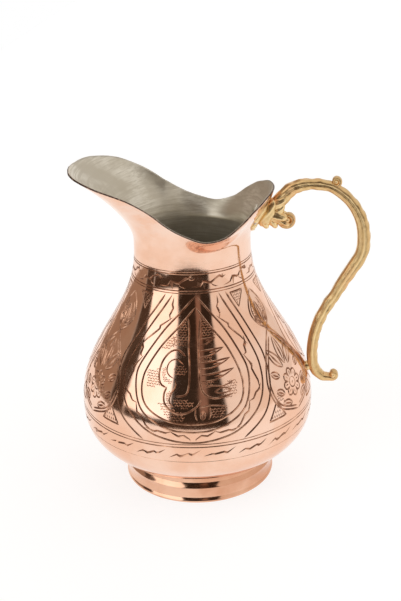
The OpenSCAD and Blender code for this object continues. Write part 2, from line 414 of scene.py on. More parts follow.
@dataclass(frozen=True)
class SoftSolder(Finish):
    """Dull grey solder, wiped by hand."""

    name: str = "soft_solder"
    clean: tuple = (0.55, 0.54, 0.52)
    dull: tuple = (0.27, 0.26, 0.25)

    def lay(self, bench: Bench, here: Wire) -> None:
        """Lays uneven grey patches.

        Args:
            bench: The node tree's helper.
            here: The place in the object's own metres.
        """
        share = bench.noise(here, 160.0, 4.0).step(0.35, 0.7)
        colour = bench.blend(share, solid(*self.clean), solid(*self.dull))
        bench.metal(colour, 0.35 + share * 0.2, bench.bump(share, 0.0002, 0.5))


@dataclass(frozen=True)
class PaleFloor(Finish):
    """A pale table that is lit from below, so its shadows stay soft."""

    name: str = "pale_floor"
    glow: float = 0.8
    paint: float = 0.3

    def lay(self, bench: Bench, here: Wire) -> None:
        """Lays a faint cloud of grey with its own glow.

        Args:
            bench: The node tree's helper.
            here: The place in the object's own metres.
        """
        share = bench.noise(here, 3.0, 2.0)
        pale = solid(self.paint, self.paint, self.paint)
        colour = bench.blend(share, pale, solid(*(0.97 * self.paint for _ in range(3))))
        shader = bench.node("ShaderNodeBsdfPrincipled", None, {
            "Base Color": colour, "Roughness": 0.9, "Specular IOR Level": 0.0,
            "Emission Color": solid(1.0, 1.0, 1.0), "Emission Strength": self.glow})
        bench.end("ShaderNodeOutputMaterial", shader)


# ------------------------------------------------------------------ jug's form


def along(values: np.ndarray, share: np.ndarray) -> np.ndarray:
    """A smooth curve through equally spaced values.

    Args:
        values: The values, one row each.
        share: Places on the curve, from 0 to the last index.

    Returns:
        The curve at those places.
    """
    last = len(values) - 1
    i = np.clip(np.floor(share).astype(int), 0, last - 1)
    t = share - i
    if values.ndim > 1:
        t = t[..., None]
    a = values[np.maximum(i - 1, 0)]
    b = values[i]
    c = values[i + 1]
    d = values[np.minimum(i + 2, last)]
    return 0.5 * (2 * b + (c - a) * t + (2 * a - 5 * b + 4 * c - d) * t * t
                  + (3 * b - 3 * c + d - a) * t * t * t)


def unit(v: np.ndarray) -> np.ndarray:
    """Vectors scaled to length 1."""
    return v / np.maximum(np.linalg.norm(v, axis=-1, keepdims=True), 1e-12)


def ring(turn: np.ndarray, radius: np.ndarray | float, height: np.ndarray | float) -> np.ndarray:
    """Points round the z axis.

    Args:
        turn: Their angles from the handle's side, in degrees.
        radius: Their distance from the axis.
        height: Their height.

    Returns:
        The points.
    """
    a = np.radians(turn)
    return np.stack(np.broadcast_arrays(radius * np.cos(a), radius * np.sin(a), height), -1)


@dataclass
class JugForm:
    """The jug's shape: the same curves as its solids, in metres."""

    foot_h: float = 0.018
    belly_z: float = 0.059
    belly_r: float = 0.080
    neck_r: float = 0.039
    neck_z: float = 0.175
    collar_r: float = 0.050
    dish_r: float = 0.038
    dish_z: float = 0.0142
    seat_in: float = 0.005
    seat_slope: float = 0.52
    spout_reach: float = 0.080
    back_reach: float = 0.055
    spout_rise: float = 0.047
    back_rise: float = 0.033
    saddle_rise: float = 0.0105
    sheet_t: float = 0.001
    tin_t: float = 0.0003
    bowl_power: float = 2.7
    shoulder_in: float = 2.1
    shoulder_out: float = 3.0
    ragged: float = 0.006
    bottom_overlap: float = 0.006
    wall_start: float = 0.003
    turns: tuple = (0, 20, 38, 49, 60, 74, 90, 104, 120, 132, 144, 160, 180)
    back_tweaks: tuple = (0.0, -0.0002, 0.0001, 0.0002)
    side_grows: tuple = (0.013, 0.0085, 0.0054, 0.0048, 0.0065)
    spout_shares: tuple = (0.38, 0.71, 0.93, 1.0)
    back_falls: tuple = (1.0, 0.97, 0.82)
    saddle_backs: tuple = (0.47, 0.13, 0.0)
    spout_rises: tuple = (0.1, 0.24, 0.46, 0.69, 0.88, 0.985, 1.0)

    def read_frame(self) -> None:
        """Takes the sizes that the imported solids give."""
        low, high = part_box("body_shell")
        self.belly_r = high.y
        self.spout_reach = -low.x
        self.dish_z = low.z
        self.foot_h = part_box("foot_ring")[1].z
        tin_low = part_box("tin_lining")[0]
        self.sheet_t = tin_low.z - low.z

    def rim(self, turn: np.ndarray) -> tuple[np.ndarray, np.ndarray]:
        """The rim's radius and height.

        Args:
            turn: Angles from the handle's side, in degrees.

        Returns:
            Radii and heights.
        """
        folded = np.abs(turn - 360 * np.round(turn / 360))
        share = np.interp(folded, self.turns, np.arange(len(self.turns)))
        radii = [self.back_reach + d for d in self.back_tweaks]
        radii += [self.neck_r + d for d in self.side_grows]
        radii += [self.neck_r + s * (self.spout_reach - self.neck_r) for s in self.spout_shares]
        low = self.saddle_rise
        rises = [s * self.back_rise for s in self.back_falls]
        rises += [low + s * (self.back_rise - low) for s in self.saddle_backs]
        rises += [low + s * (self.spout_rise - low) for s in self.spout_rises]
        return along(np.array(radii), share), self.neck_z + along(np.array(rises), share)

    def lip(self, turn: np.ndarray, t: np.ndarray) -> tuple[np.ndarray, np.ndarray]:
        """The outside of the lip.

        Args:
            turn: Angles from the handle's side, in degrees.
            t: Places between the neck, 0, and the rim, 1.

        Returns:
            Radii and heights.
        """
        r, z = self.rim(turn)
        k = 0.32 - 0.22 * np.cos(np.radians(turn))
        pull = 0.3 * (z - self.neck_z)
        way_r = [self.neck_r, self.neck_r, r - k * (r - self.neck_r), r]
        way_z = [self.neck_z, self.neck_z + pull, z - pull, z]
        shares = [(1 - t) ** 3, 3 * (1 - t) ** 2 * t, 3 * (1 - t) * t * t, t ** 3]
        return sum(s * w for s, w in zip(shares, way_r)), sum(s * w for s, w in zip(shares, way_z))

    def radius(self, z: np.ndarray) -> np.ndarray:
        """The outer radius between the foot and the neck.

        Args:
            z: Heights.

        Returns:
            The radii there.
        """
        u = np.clip((z - self.foot_h) / (self.belly_z - self.foot_h), 0, 1)
        v = np.clip((z - self.belly_z) / (self.neck_z - self.belly_z), 0, 1)
        bowl = self.collar_r + (self.belly_r - self.collar_r) * (1 - (1 - u) ** self.bowl_power)
        drawn_in = (1 - v ** self.shoulder_in) ** self.shoulder_out
        shoulder = self.neck_r + (self.belly_r - self.neck_r) * drawn_in
        return np.where(z < self.belly_z, bowl, shoulder)

    def slope(self, z: np.ndarray) -> np.ndarray:
        """How fast the outer radius grows with the height."""
        reach = 0.1 * MM
        return (self.radius(z + reach) - self.radius(z - reach)) / (2 * reach)

    def body_point(self, turn: np.ndarray, z: np.ndarray) -> tuple[np.ndarray, np.ndarray]:
        """Points of the body's outside and their outward normals.

        Args:
            turn: Angles from the handle's side, in degrees.
            z: Heights.

        Returns:
            The points and the normals.
        """
        return ring(turn, self.radius(z), z), unit(ring(turn, 1.0, -self.slope(z)))

    def ragged_end(self, turn: np.ndarray) -> np.ndarray:
        """Where the hand-cut rim ends, a little under t = 1.

        Args:
            turn: Angles from the handle's side, in degrees.

        Returns:
            The lip's t at its cut edge.
        """
        a = np.radians(turn)
        waves = (np.sin(11 * a + 0.7) + np.sin(23 * a + 2.1) + 0.8 * np.sin(41 * a + 4.4)
                 + 0.6 * np.sin(67 * a + 1.3))
        return 1 - self.ragged * (0.5 + 0.14 * waves)

    def lip_rows(self, turn: np.ndarray, count: int) -> np.ndarray:
        """The lip's outside as rows of points from the neck up to the cut rim.

        Args:
            turn: The columns' angles, in degrees.
            count: How many rows.

        Returns:
            An array of rows, columns and coordinates.
        """
        end = self.ragged_end(turn)
        return np.array([ring(turn, *self.lip(turn, end * i / count)) for i in range(1, count + 1)])

    def bottom_rows(self, turn: np.ndarray, depth: float) -> np.ndarray:
        """Rows of points of the bottom's inside, from its middle out to the bowl.

        Args:
            turn: The columns' angles, in degrees.
            depth: How far the rows lie above the bottom's underside.

        Returns:
            An array of rows, columns and coordinates.
        """
        level = self.dish_z + depth
        edge = self.bottom_overlap
        return np.array([ring(turn, 0.02, level), ring(turn, self.dish_r, level),
                         ring(turn, self.dish_r + edge, level + edge * self.seat_slope)])


def grid_normals(grid: np.ndarray) -> np.ndarray:
    """Outward normals of rows of points that close round the axis.

    Args:
        grid: Rows, columns and coordinates; rows go up the outside.

    Returns:
        A normal for each point.
    """
    across = np.roll(grid, -1, 1) - np.roll(grid, 1, 1)
    up = np.empty_like(grid)
    up[1:-1] = grid[2:] - grid[:-2]
    up[0] = grid[1] - grid[0]
    up[-1] = grid[-1] - grid[-2]
    return unit(np.cross(across, up))


def grid_faces(rows: int, columns: int, first: int = 0) -> list[tuple[int, ...]]:
    """Four-sided faces of a grid that closes round the axis, facing outwards where rows go up.

    Args:
        rows: How many rows of points.
        columns: How many points in a row.
        first: The first point's number.

    Returns:
        The faces.
    """
    faces = []
    for i in range(rows - 1):
        for c in range(columns):
            d = (c + 1) % columns
            low = first + i * columns
            faces.append((low + c, low + d, low + columns + d, low + columns + c))
    return faces


def closed_faces(rows: int, columns: int) -> list[tuple[int, ...]]:
    """Faces of a grid with a fan at each end, round the two points that follow the grid's.

    Args:
        rows: How many rows of points.
        columns: How many points in a row.

    Returns:
        The faces.
    """
    faces = grid_faces(rows, columns)
    pole = rows * columns
    last = pole - columns
    for c in range(columns):
        d = (c + 1) % columns
        faces.append((pole, d, c))
        faces.append((last + c, last + d, pole + 1))
    return faces


def finish_piece(piece: bpy.types.Object, slot: Slot, *nodes: str) -> bpy.types.Object:
    """Finishes a piece: it rides on the jug and stands for its solids.

    Args:
        piece: The finished piece.
        slot: Not used.
        nodes: The solids it stands for.

    Returns:
        The piece.
    """
    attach(piece, "root")
    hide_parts(*nodes)
    mesh = piece.data
    LOG.info("%s: %d points, %d faces", piece.name, len(mesh.vertices), len(mesh.polygons))
    return piece


def mesh_piece(name: str, points: np.ndarray, faces: list[tuple[int, ...]]) -> bpy.types.Object:
    """A new smooth-shaded mesh object at the origin.

    Args:
        name: The piece's name.
        points: Its points, in metres.
        faces: Its faces.

    Returns:
        The object.
    """
    mesh = bpy.data.meshes.new(name)
    mesh.from_pydata(points.tolist(), [], faces)
    mesh.validate()
    mesh.shade_smooth()
    piece = bpy.data.objects.new(name, mesh)
    bpy.context.scene.collection.objects.link(piece)
    return piece


def joined(name: str, pieces: list[bpy.types.Object]) -> bpy.types.Object:
    """Joins pieces into the first of them.

    Args:
        name: The joined piece's name.
        pieces: The pieces.

    Returns:
        The joined piece.
    """
    bpy.ops.object.select_all(action="DESELECT")
    for piece in pieces:
        piece.select_set(True)
    bpy.context.view_layer.objects.active = pieces[0]
    bpy.ops.object.join()
    whole = bpy.context.object
    whole.name = name
    return whole


def turned_piece(name: str, profile: Points, sides: int) -> bpy.types.Object:
    """Turns a closed piece round the z axis by extruding a ring of edges along its profile.

    Args:
        name: The piece's name.
        profile: Radius and height of each ring; a radius of 0 at an end closes it in a fan.
        sides: How many sides each ring has.

    Returns:
        The piece.
    """
    bpy.ops.object.select_all(action="DESELECT")
    hollow = profile[0][0] > 0
    rings = list(profile) + [profile[0]] if hollow else profile[1:-1]
    first_r, first_z = rings[0]
    bpy.ops.mesh.primitive_circle_add(vertices=sides, radius=first_r, location=(0, 0, first_z),
                                      fill_type="NOTHING")
    piece = bpy.context.object
    bpy.ops.object.transform_apply(location=True, rotation=True, scale=True)
    piece.name = name
    bpy.ops.object.mode_set(mode="EDIT")
    bpy.ops.mesh.select_all(action="SELECT")

    def pull(rise: float) -> None:
        """Extrudes the selected ring straight up or down."""
        bpy.ops.mesh.extrude_region_move(TRANSFORM_OT_translate={"value": (0, 0, rise)})

    if not hollow:
        pull(profile[0][1] - first_z)
        bpy.ops.mesh.merge(type="CENTER")
        bpy.ops.mesh.select_all(action="DESELECT")
        bpy.ops.object.mode_set(mode="OBJECT")
        for v in piece.data.vertices:
            v.select = math.hypot(v.co.x, v.co.y) > 0.5 * first_r
        bpy.ops.object.mode_set(mode="EDIT")
    for (r0, z0), (r1, z1) in zip(rings, rings[1:]):
        pull(z1 - z0)
        bpy.ops.transform.resize(value=(r1 / r0, r1 / r0, 1.0), center_override=(0, 0, z1))
    if not hollow:
        pull(profile[-1][1] - rings[-1][1])
        bpy.ops.mesh.merge(type="CENTER")
    bpy.ops.mesh.select_all(action="SELECT")
    bpy.ops.mesh.remove_doubles(threshold=1e-7)
    bpy.ops.mesh.normals_make_consistent(inside=False)
    bpy.ops.object.mode_set(mode="OBJECT")
    bpy.ops.object.shade_smooth_by_angle(angle=math.radians(50))
    return piece


# ------------------------------------------------------------------- engraving


@dataclass
class Engraver:
    """Draws the chisel cuts of the body in degrees round the axis and millimetres of height."""

    form: JugForm
    low: float = 44.0
    high: float = 168.0
    step: float = 1.9
    first_centre: float = 273.5
    repeats: int = 3
    waves: int = 12
    hooks: int = 22
    kinks: int = 8
    inset: float = 2.1
    outline_w: float = 0.66
    fine_w: float = 0.48
    tick_w: float = 0.52
    lean: float = 4.2
    lean_from: float = 102.0
    lean_over: float = 47.0

    def __post_init__(self) -> None:
        """Starts with no cuts, drawn upright."""
        self.cuts: list[np.ndarray] = []
        self.leaning = False

    def leant(self, x: np.ndarray, z: np.ndarray) -> np.ndarray:
        """Leans a hand-drawn medallion's tip over.

        Args:
            x: The points' turns.
            z: Their heights.

        Returns:
            The turns, moved where the medallion leans.
        """
        if not self.leaning:
            return x
        return x + self.lean * np.clip((z - self.lean_from) / self.lean_over, 0, 1) ** 1.2

    def per_degree(self, z: np.ndarray) -> np.ndarray:
        """Millimetres round the body for each degree at a height."""
        return self.form.radius(np.asarray(z) * MM) / MM * math.pi / 180

    def per_height(self, z: np.ndarray) -> np.ndarray:
        """Millimetres along the skin for each millimetre of height."""
        return np.sqrt(1 + self.form.slope(np.asarray(z) * MM) ** 2)

    def lengths(self, path: np.ndarray) -> np.ndarray:
        """The length along the skin up to each point of a path.

        Args:
            path: Turn and height of each point.

        Returns:
            The lengths, in millimetres.
        """
        middle = (path[1:, 1] + path[:-1, 1]) / 2
        steps = np.hypot(np.diff(path[:, 0]) * self.per_degree(middle),
                         np.diff(path[:, 1]) * self.per_height(middle))
        return np.concatenate([[0.0], np.cumsum(steps)])

    def curve(self, points: Points, rounded: bool = True) -> np.ndarray:
        """A path through points, evenly spaced along the skin.

        Args:
            points: Turn and height of each point.
            rounded: True for a smooth curve, False for straight pieces.

        Returns:
            The path's points.
        """
        path = np.array(points, float)
        if rounded and len(path) > 2:
            path = along(path, np.linspace(0, len(path) - 1, 12 * (len(path) - 1) + 1))
        length = self.lengths(path)
        count = max(2, int(round(length[-1] / self.step)))
        places = np.linspace(0, length[-1], count + 1)
        if not rounded:
            places = np.unique(np.round(np.concatenate([places, length]), 6))
            keep = np.ones(len(places), bool)
            for i in range(1, len(places) - 1):
                near = np.min(np.abs(length - places[i]))
                keep[i] = near < 1e-5 or near > 0.35 * self.step
            places = places[keep]
        return np.stack([np.interp(places, length, path[:, k]) for k in (0, 1)], 1)

    def shifted(self, path: np.ndarray, distance: float | np.ndarray) -> np.ndarray:
        """Moves a path to its left along the skin.

        Args:
            path: Turn and height of each point.
            distance: How far, in millimetres.

        Returns:
            The moved path.
        """
        ahead = np.gradient(path, axis=0)
        wide = self.per_degree(path[:, 1])
        tall = self.per_height(path[:, 1])
        way = unit(np.stack([ahead[:, 0] * wide, ahead[:, 1] * tall], 1))
        return path + np.stack([-way[:, 1] * distance / wide, way[:, 0] * distance / tall], 1)

    def cut(self, points: Points | np.ndarray, width: float, centre: float = 0.0, taper: float = 0.04,
            rounded: bool = True, both: bool = False) -> None:
        """Adds one cut.

        Args:
            points: Turn from the centre and height of each point.
            width: Half of the cut's width.
            centre: The turn that the points are measured from.
            taper: Share of the length over which the cut runs out at each end.
            rounded: True for a smooth curve.
            both: True to add its mirror image too.
        """
        path = points if isinstance(points, np.ndarray) else self.curve(points, rounded)
        share = np.linspace(0, 1, len(path))
        wide = width * np.clip(np.minimum(share, 1 - share) / max(taper, 1e-6), 0, 1) ** 0.7
        z = path[:, 1]
        for side in (1, -1) if both else (1,):
            self.cuts.append(np.stack([centre + self.leant(side * path[:, 0], z), z, wide], 1))

    def tick(self, x: float, z: float, lean: float, length: float, width: float,
             centre: float) -> None:
        """Adds one short lens-shaped mark.

        Args:
            x: Turn from the centre.
            z: Height.
            lean: Degrees that the mark leans from upright.
            length: The mark's length.
            width: Half of its width.
            centre: The turn that x is measured from.
        """
        x = float(self.leant(np.array(x), np.array(z)))
        across = length / 2 * math.sin(math.radians(lean)) / float(self.per_degree(z))
        up = length / 2 * math.cos(math.radians(lean)) / float(self.per_height(z))
        self.cuts.append(np.array([[centre + x - across, z - up, 0.0], [centre + x, z, width],
                                   [centre + x + across, z + up, 0.0]]))

    def hatch(self, corners: Points, centre: float, gap: float, length: float, lean: float,
              woven: bool = False, both: bool = False) -> None:
        """Fills a patch with rows of short marks.

        Args:
            corners: The patch's corners.
            centre: The turn that they are measured from.
            gap: Distance between marks.
            length: A mark's length.
            lean: Degrees that the marks lean.
            woven: True if every second mark leans the other way.
            both: True to fill the mirror image too.
        """
        xs = [c[0] for c in corners]
        zs = [c[1] for c in corners]
        row = 0
        z = min(zs) + 0.5 * length
        while z < max(zs):
            pitch = gap / float(self.per_degree(z)) * (0.7 if woven else 1.0)
            x = min(xs) + pitch * (0.3 if row % 2 else 0.6)
            place = row
            while x < max(xs):
                inside = False
                for (x0, z0), (x1, z1) in zip(corners, corners[1:] + corners[:1]):
                    if (z0 > z) != (z1 > z) and x < x0 + (z - z0) / (z1 - z0) * (x1 - x0):
                        inside = not inside
                if inside:
                    turned = -lean if woven and place % 2 else lean
                    width = self.tick_w * (0.72 if woven else 1.0)
                    for side in (1, -1) if both else (1,):
                        self.tick(side * x, z, side * turned, length, width, centre)
                x += pitch
                place += 1
            z += length * (0.9 if woven else 1.08) / float(self.per_height(z))
            row += 1

    def leaf(self, x: float, z: float, lean: float, length: float, width: float, centre: float,
             both: bool = False) -> None:
        """Adds an almond leaf with a slit down its middle.

        Args:
            x: Turn of its root from the centre.
            z: Height of its root.
            lean: Degrees that it leans from upright.
            length: The leaf's length.
            width: Half of the leaf's width.
            centre: The turn that x is measured from.
            both: True to add its mirror image too.
        """
        a = math.radians(lean)
        wide = float(self.per_degree(z))
        tall = float(self.per_height(z))

        def spot(up: float, out: float) -> tuple[float, float]:
            """A place in the leaf.

            Args:
                up: Share of its length.
                out: Share of half its width.

            Returns:
                Turn and height.
            """
            px = up * length * math.sin(a) + out * width * math.cos(a)
            pz = up * length * math.cos(a) - out * width * math.sin(a)
            return x + px / wide, z + pz / tall

        for side in (-1, 1):
            edge = [spot(0, 0), spot(0.25, 0.75 * side), spot(0.5, side), spot(0.78, 0.62 * side),
                    spot(1, 0)]
            self.cut(edge, self.outline_w, centre, 0.12, True, both)
        slit = [spot(0.1, 0), spot(0.45, 0.1), spot(0.86, 0)]
        self.cut(slit, 1.9 * self.fine_w, centre, 0.5, True, both)

    def flower(self, x: float, z: float, size: float, petals: int, centre: float) -> None:
        """Adds a round flower: an eye and a ring of petals.

        Args:
            x: Turn of its eye from the centre.
            z: Height of its eye.
            size: Its radius.
            petals: How many petals.
            centre: The turn that x is measured from.
        """
        wide = float(self.per_degree(z))
        tall = float(self.per_height(z))

        def spot(reach: float, turn: float) -> tuple[float, float]:
            """A place round the flower's eye."""
            return x + reach * size * math.sin(turn) / wide, z + reach * size * math.cos(turn) / tall

        round_turn = 2 * math.pi
        self.cut([spot(0.36, round_turn * i / 8) for i in range(9)], self.fine_w, centre, 0.03)
        for i in range(petals):
            a = round_turn * i / petals
            half = round_turn / petals / 2
            petal = [spot(0.45, a - half), spot(0.85, a - 0.8 * half), spot(1.0, a),
                     spot(0.85, a + 0.8 * half), spot(0.45, a + half)]
            self.cut(petal, self.outline_w, centre, 0.1)
            slit = [spot(0.5, a), spot(0.66, a + 0.1 * half), spot(0.84, a)]
            self.cut(slit, self.fine_w, centre, 0.5)
        self.tick(x, z, 40, 2.6, 0.6, centre)

    def bands(self) -> None:
        """The rings of the neck and the belly, and the wavy strokes between them."""
        for z, width in ((164.0, 0.3), (162.5, 0.42), (151.8, 0.42), (150.2, 0.3),
                         (61.8, 0.3), (59.8, 0.42), (48.6, 0.16)):
            path = self.curve([(0.0, z), (360.0, z)], False)
            path[-1, 0] = 360.0
            self.cuts.append(np.stack([path[:, 0], path[:, 1], np.full(len(path), width)], 1))
        for i in range(self.waves):
            lift = 0.8 * math.sin(2.4 * i)
            place = 360 / self.waves * i
            wave = [(0, 154.0 + lift), (8, 154.6), (11, 157.6), (18, 156.4), (22, 158.4 - lift),
                    (31, 161.0)]
            upper = [(2, 158.4), (8, 160.6 + 0.4 * lift), (11, 158.6), (15, 159.9)]
            fork = [(18, 156.2), (21, 154.2), (25, 153.4 + 0.5 * lift)]
            self.cut(wave, 1.15 * self.outline_w, place + 4, 0.4, i % 2 == 0)
            self.cut(upper, self.outline_w, place - 7, 0.45, i % 2 == 1)
            self.cut(fork, self.fine_w, place + 4, 0.5)
        for i in range(self.hooks):
            lift = 0.9 * math.sin(1.9 * i + 0.5)
            kink = [(0, 52.2 + lift), (4.0, 54.6), (5.4, 53.4 + lift), (9.5, 55.2), (11.0, 54.2),
                    (15.2, 57.8)]
            self.cut(kink, 1.1 * self.outline_w, 360 / self.hooks * i, 0.35, i % 3 == 0)

    def outline(self, centre: float) -> None:
        """The nested teardrops of a main medallion and the kinked strokes between them.

        Args:
            centre: The medallion's turn.
        """
        first = [(0, 142), (11, 131), (22, 118), (27.8, 101), (24.5, 86), (13, 77.4), (0, 75.4)]
        second = [(0, 149), (12, 138.5), (22.5, 127.5), (30.5, 112), (32.3, 100), (26, 82),
                  (13, 72.4), (0, 70.2)]
        third = [(20.5, 149.6), (33, 131), (40.3, 112), (40.4, 98), (34.5, 82), (22.5, 69.5),
                 (11, 64.6), (0, 63)]
        for drop in (first, second, third):
            self.cut(drop + [(-x, z) for x, z in drop[-2::-1]], self.outline_w, centre, 0.02)
        fourth = [(27, 149.6), (38.5, 132), (45.4, 114), (46, 103), (43.4, 90), (36.5, 75),
                  (24, 62.4)]
        self.cut(fourth, self.outline_w, centre, 0.03, True, True)
        inner = self.curve(second)
        outer = self.curve(third)
        for i in range(self.kinks):
            start = 0.02 + i * 0.98 / self.kinks
            reach = 0.175 if i % 2 else 0.15
            sway = (-1.1, -0.1, -0.45, 0.5, 1.05) if i % 2 else (1.1, 0.6, 0.1, -0.2, -1.15)
            stroke = []
            for side, step in zip(sway, (0.0, 0.32, 0.46, 0.72, 1.0)):
                share = min(start + reach * step, 0.995)
                near = inner[int(share * (len(inner) - 1))]
                far = outer[int(share * (len(outer) - 1))]
                stroke.append(tuple((near + far) / 2 + side * 0.33 * (far - near)))
            self.cut(stroke, self.outline_w, centre, 0.3, False, True)

    def branch(self, centre: float) -> None:
        """A stem with a ribbed half leaf on its right and a curled tendril on its left.

        Args:
            centre: The medallion's turn.
        """
        bold, fine = self.outline_w, self.fine_w
        stem = ((bold, 0.04, [(-5.0, 135.6), (-3.6, 128), (-3.0, 119), (-1.4, 107), (-1.6, 98),
                              (-3.4, 93), (-9, 92)]),
                (bold, 0.04, [(4.2, 136.2), (3.5, 128), (3.3, 119), (4.0, 107), (4.6, 98), (6.6, 93),
                              (12, 90.4), (21.5, 91.8)]),
                (bold, 0.04, [(4.6, 90.5), (2.2, 86), (-4, 82), (-9.6, 82.8), (-13.8, 87.4),
                              (-14.6, 93), (-13.2, 97.4)]),
                (bold, 0.04, [(-4.4, 114.2), (-9.4, 117.6), (-14.6, 116.4), (-18.2, 111),
                              (-18.8, 104), (-17.0, 98.4), (-13.4, 96.6)]),
                (fine, 0.15, [(-5.0, 109.6), (-10.0, 112.6), (-14, 110.6), (-14.6, 106), (-12.2, 103),
                              (-9.4, 102)]),
                (fine, 0.15, [(-9.4, 102), (-8.7, 98), (-10.9, 93.4), (-11.5, 88.6), (-9, 85.4)]))
        ribs = []
        for top, reach, rise in ((123.4, 15.0, 0.6), (117.0, 20.0, 1.0), (110.4, 23.4, 1.5),
                                 (103.6, 24.6, 2.2)):
            tip = (reach, top + rise)
            ribs += [(bold, 0.2, [(3.8, top), (0.5 * reach, top + 0.3 * rise), tip]),
                     (fine, 0.2, [(4.0, top - 3.2), (0.55 * reach, top - 2.6), tip]),
                     (1.4 * fine, 0.5, [(0.5 * reach, top - 1.2), (0.75 * reach, top - 0.6)])]
        roots = ((fine, 0.15, [(6.2, 96.4), (11, 97.6), (17, 97.0), (23.8, 99.4)]),
                 (fine, 0.08, [(11.5, 94), (16, 96), (20.6, 94.4), (16.4, 92.8), (11.5, 94)]),
                 (fine, 0.15, [(3.2, 85.4), (9, 86.6), (17.5, 85.2)]),
                 (fine, 0.15, [(8.6, 86), (8.8, 81.4), (7.6, 77.8)]),
                 (fine, 0.2, [(1.8, 85), (1.4, 81), (2.4, 77.4)]))
        for width, taper, points in (*stem, *ribs, *roots):
            self.cut(points, width, centre, taper)
        self.leaf(4.9, 77.6, 4, 6.6, 1.3, centre)
        broad = ([(-6, 136), (-9.4, 133), (-14.4, 124), (-13.6, 119.5), (-4.4, 119.5)],
                 [(4.6, 136), (9.4, 132), (16.6, 125), (4.4, 124.6)],
                 [(-21, 117.5), (-15, 125), (-10.5, 122.4), (-15.5, 117.4)],
                 [(-26, 106), (-18.8, 106.4), (-17.6, 97), (-24.8, 95.5)],
                 [(-17.6, 87.6), (-13.4, 87.4), (-3.8, 81.4), (-4, 77), (-11.6, 77.8)],
                 [(19.0, 99.4), (24.6, 100.4), (23.4, 92), (19.4, 89.4), (14, 90)],
                 [(9.4, 85), (17.6, 85.4), (15, 79.2), (9.4, 78.6)],
                 [(5.2, 99.6), (11.6, 99.8), (11.6, 97.8), (6.0, 97.2)],
                 [(5.0, 113.4), (12, 114.0), (12, 111.4), (5.0, 110.8)],
                 [(-4.4, 91), (-9.4, 90.6), (-8.6, 86.6), (-3, 84.4), (1.6, 88)],
                 [(-3.2, 108.2), (-8.6, 109.8), (-11, 107.4), (-10, 103.6), (-3.2, 103.6)])
        narrow = ([(-13.4, 94), (-11.2, 95), (-11.6, 88.8), (-9.8, 85), (-13, 86.6)],
                  [(-15.4, 108), (-17.6, 107), (-16.2, 100.4), (-11.2, 98.6), (-11.0, 100.6),
                   (-14.8, 102.4)])
        for patches, gap, length, lean in ((broad, 1.7, 1.8, 42), (narrow, 1.3, 1.2, 25)):
            for patch in patches:
                self.hatch(patch, centre, gap, length, lean, True)

    def side_figure(self, centre: float) -> None:
        """A figure of eight between the medallions, with leaves and a flower in it.

        Args:
            centre: The figure's turn.
        """
        line = self.curve([(0, 145.5), (7, 138.5), (9.8, 131), (6.4, 124.4), (0, 119.6), (-8.6, 111),
                           (-15.8, 99), (-18.2, 87), (-13.4, 73.6), (0, 66.2)])
        self.cut(line, self.outline_w, centre, 0.03, True, True)
        off_waist = 100 * ((line[:, 1] > 125) | (line[:, 1] < 110))
        crossing = int(np.argmin(np.abs(line[:, 0]) + off_waist))
        upper = self.shifted(line[:crossing + 1], -self.inset)[4:-3]
        lower = self.shifted(line[crossing:], self.inset)[3:]
        self.cut(upper, self.fine_w, centre, 0.06, True, True)
        self.cut(lower[lower[:, 0] < 0.3], self.outline_w, centre, 0.03, True, True)
        leaves = ((0, 122.6, 0, 17.0, 2.7), (1.8, 123.4, 36, 8.4, 1.8), (0, 96.5, 0, 20.5, 3.3),
                  (2.6, 95.5, 33, 18.5, 3.2), (8.0, 91.5, 58, 9.0, 2.3), (4.0, 72.6, 72, 10.6, 2.3),
                  (8.2, 80.6, 60, 8.6, 2.2))
        for x, z, lean, length, width in leaves:
            self.leaf(x, z, lean, length, width, centre, x > 0)
        self.flower(0, 84.6, 9.6, 8, centre)
        for patch in ([(-14.4, 84), (-14, 79), (-10, 76), (-11.4, 82.6)],
                      [(-6.8, 131.6), (-4.6, 135.4), (-3.4, 131), (-4.8, 126.6)]):
            self.hatch(patch, centre, 1.7, 1.8, 35, True, True)

    def corners(self, centre: float) -> None:
        """The hatched triangles beside a side figure, at its foot and at its head.

        Args:
            centre: The figure's turn.
        """
        for side in (-1, 1):
            low = [(side * 15.5, 79.2), (side * 21.6, 67.6), (side * 10.6, 67.8)]
            self.cut(low + low[:1], self.outline_w, centre, 0.02, False)
            self.hatch([(side * 15.6, 77.4), (side * 20.4, 68.6), (side * 11.8, 68.8)],
                       centre, 1.9, 2.6, 0)
            high = [(side * 9.8, 147.8), (side * 24.0, 147.8), (side * 18.4, 138.0)]
            self.cut(high + high[:1], self.fine_w, centre, 0.02, False)
            self.hatch([(side * 11.2, 147.0), (side * 22.6, 147.0), (side * 18.2, 139.6)],
                       centre, 1.7, 1.9, 30, True)

    def draw(self) -> list[np.ndarray]:
        """Draws the whole engraving.

        Returns:
            Each cut as rows of turn, height and half width.
        """
        self.bands()
        third = 360 / self.repeats
        for i in range(self.repeats):
            centre = (self.first_centre + i * third) % 360
            self.leaning = True
            self.outline(centre)
            self.branch(centre)
            self.leaning = False
            self.side_figure((centre + third / 2) % 360)
            self.corners((centre + third / 2) % 360)
        return self.cuts


# ----------------------------------------------------------------- copper shell


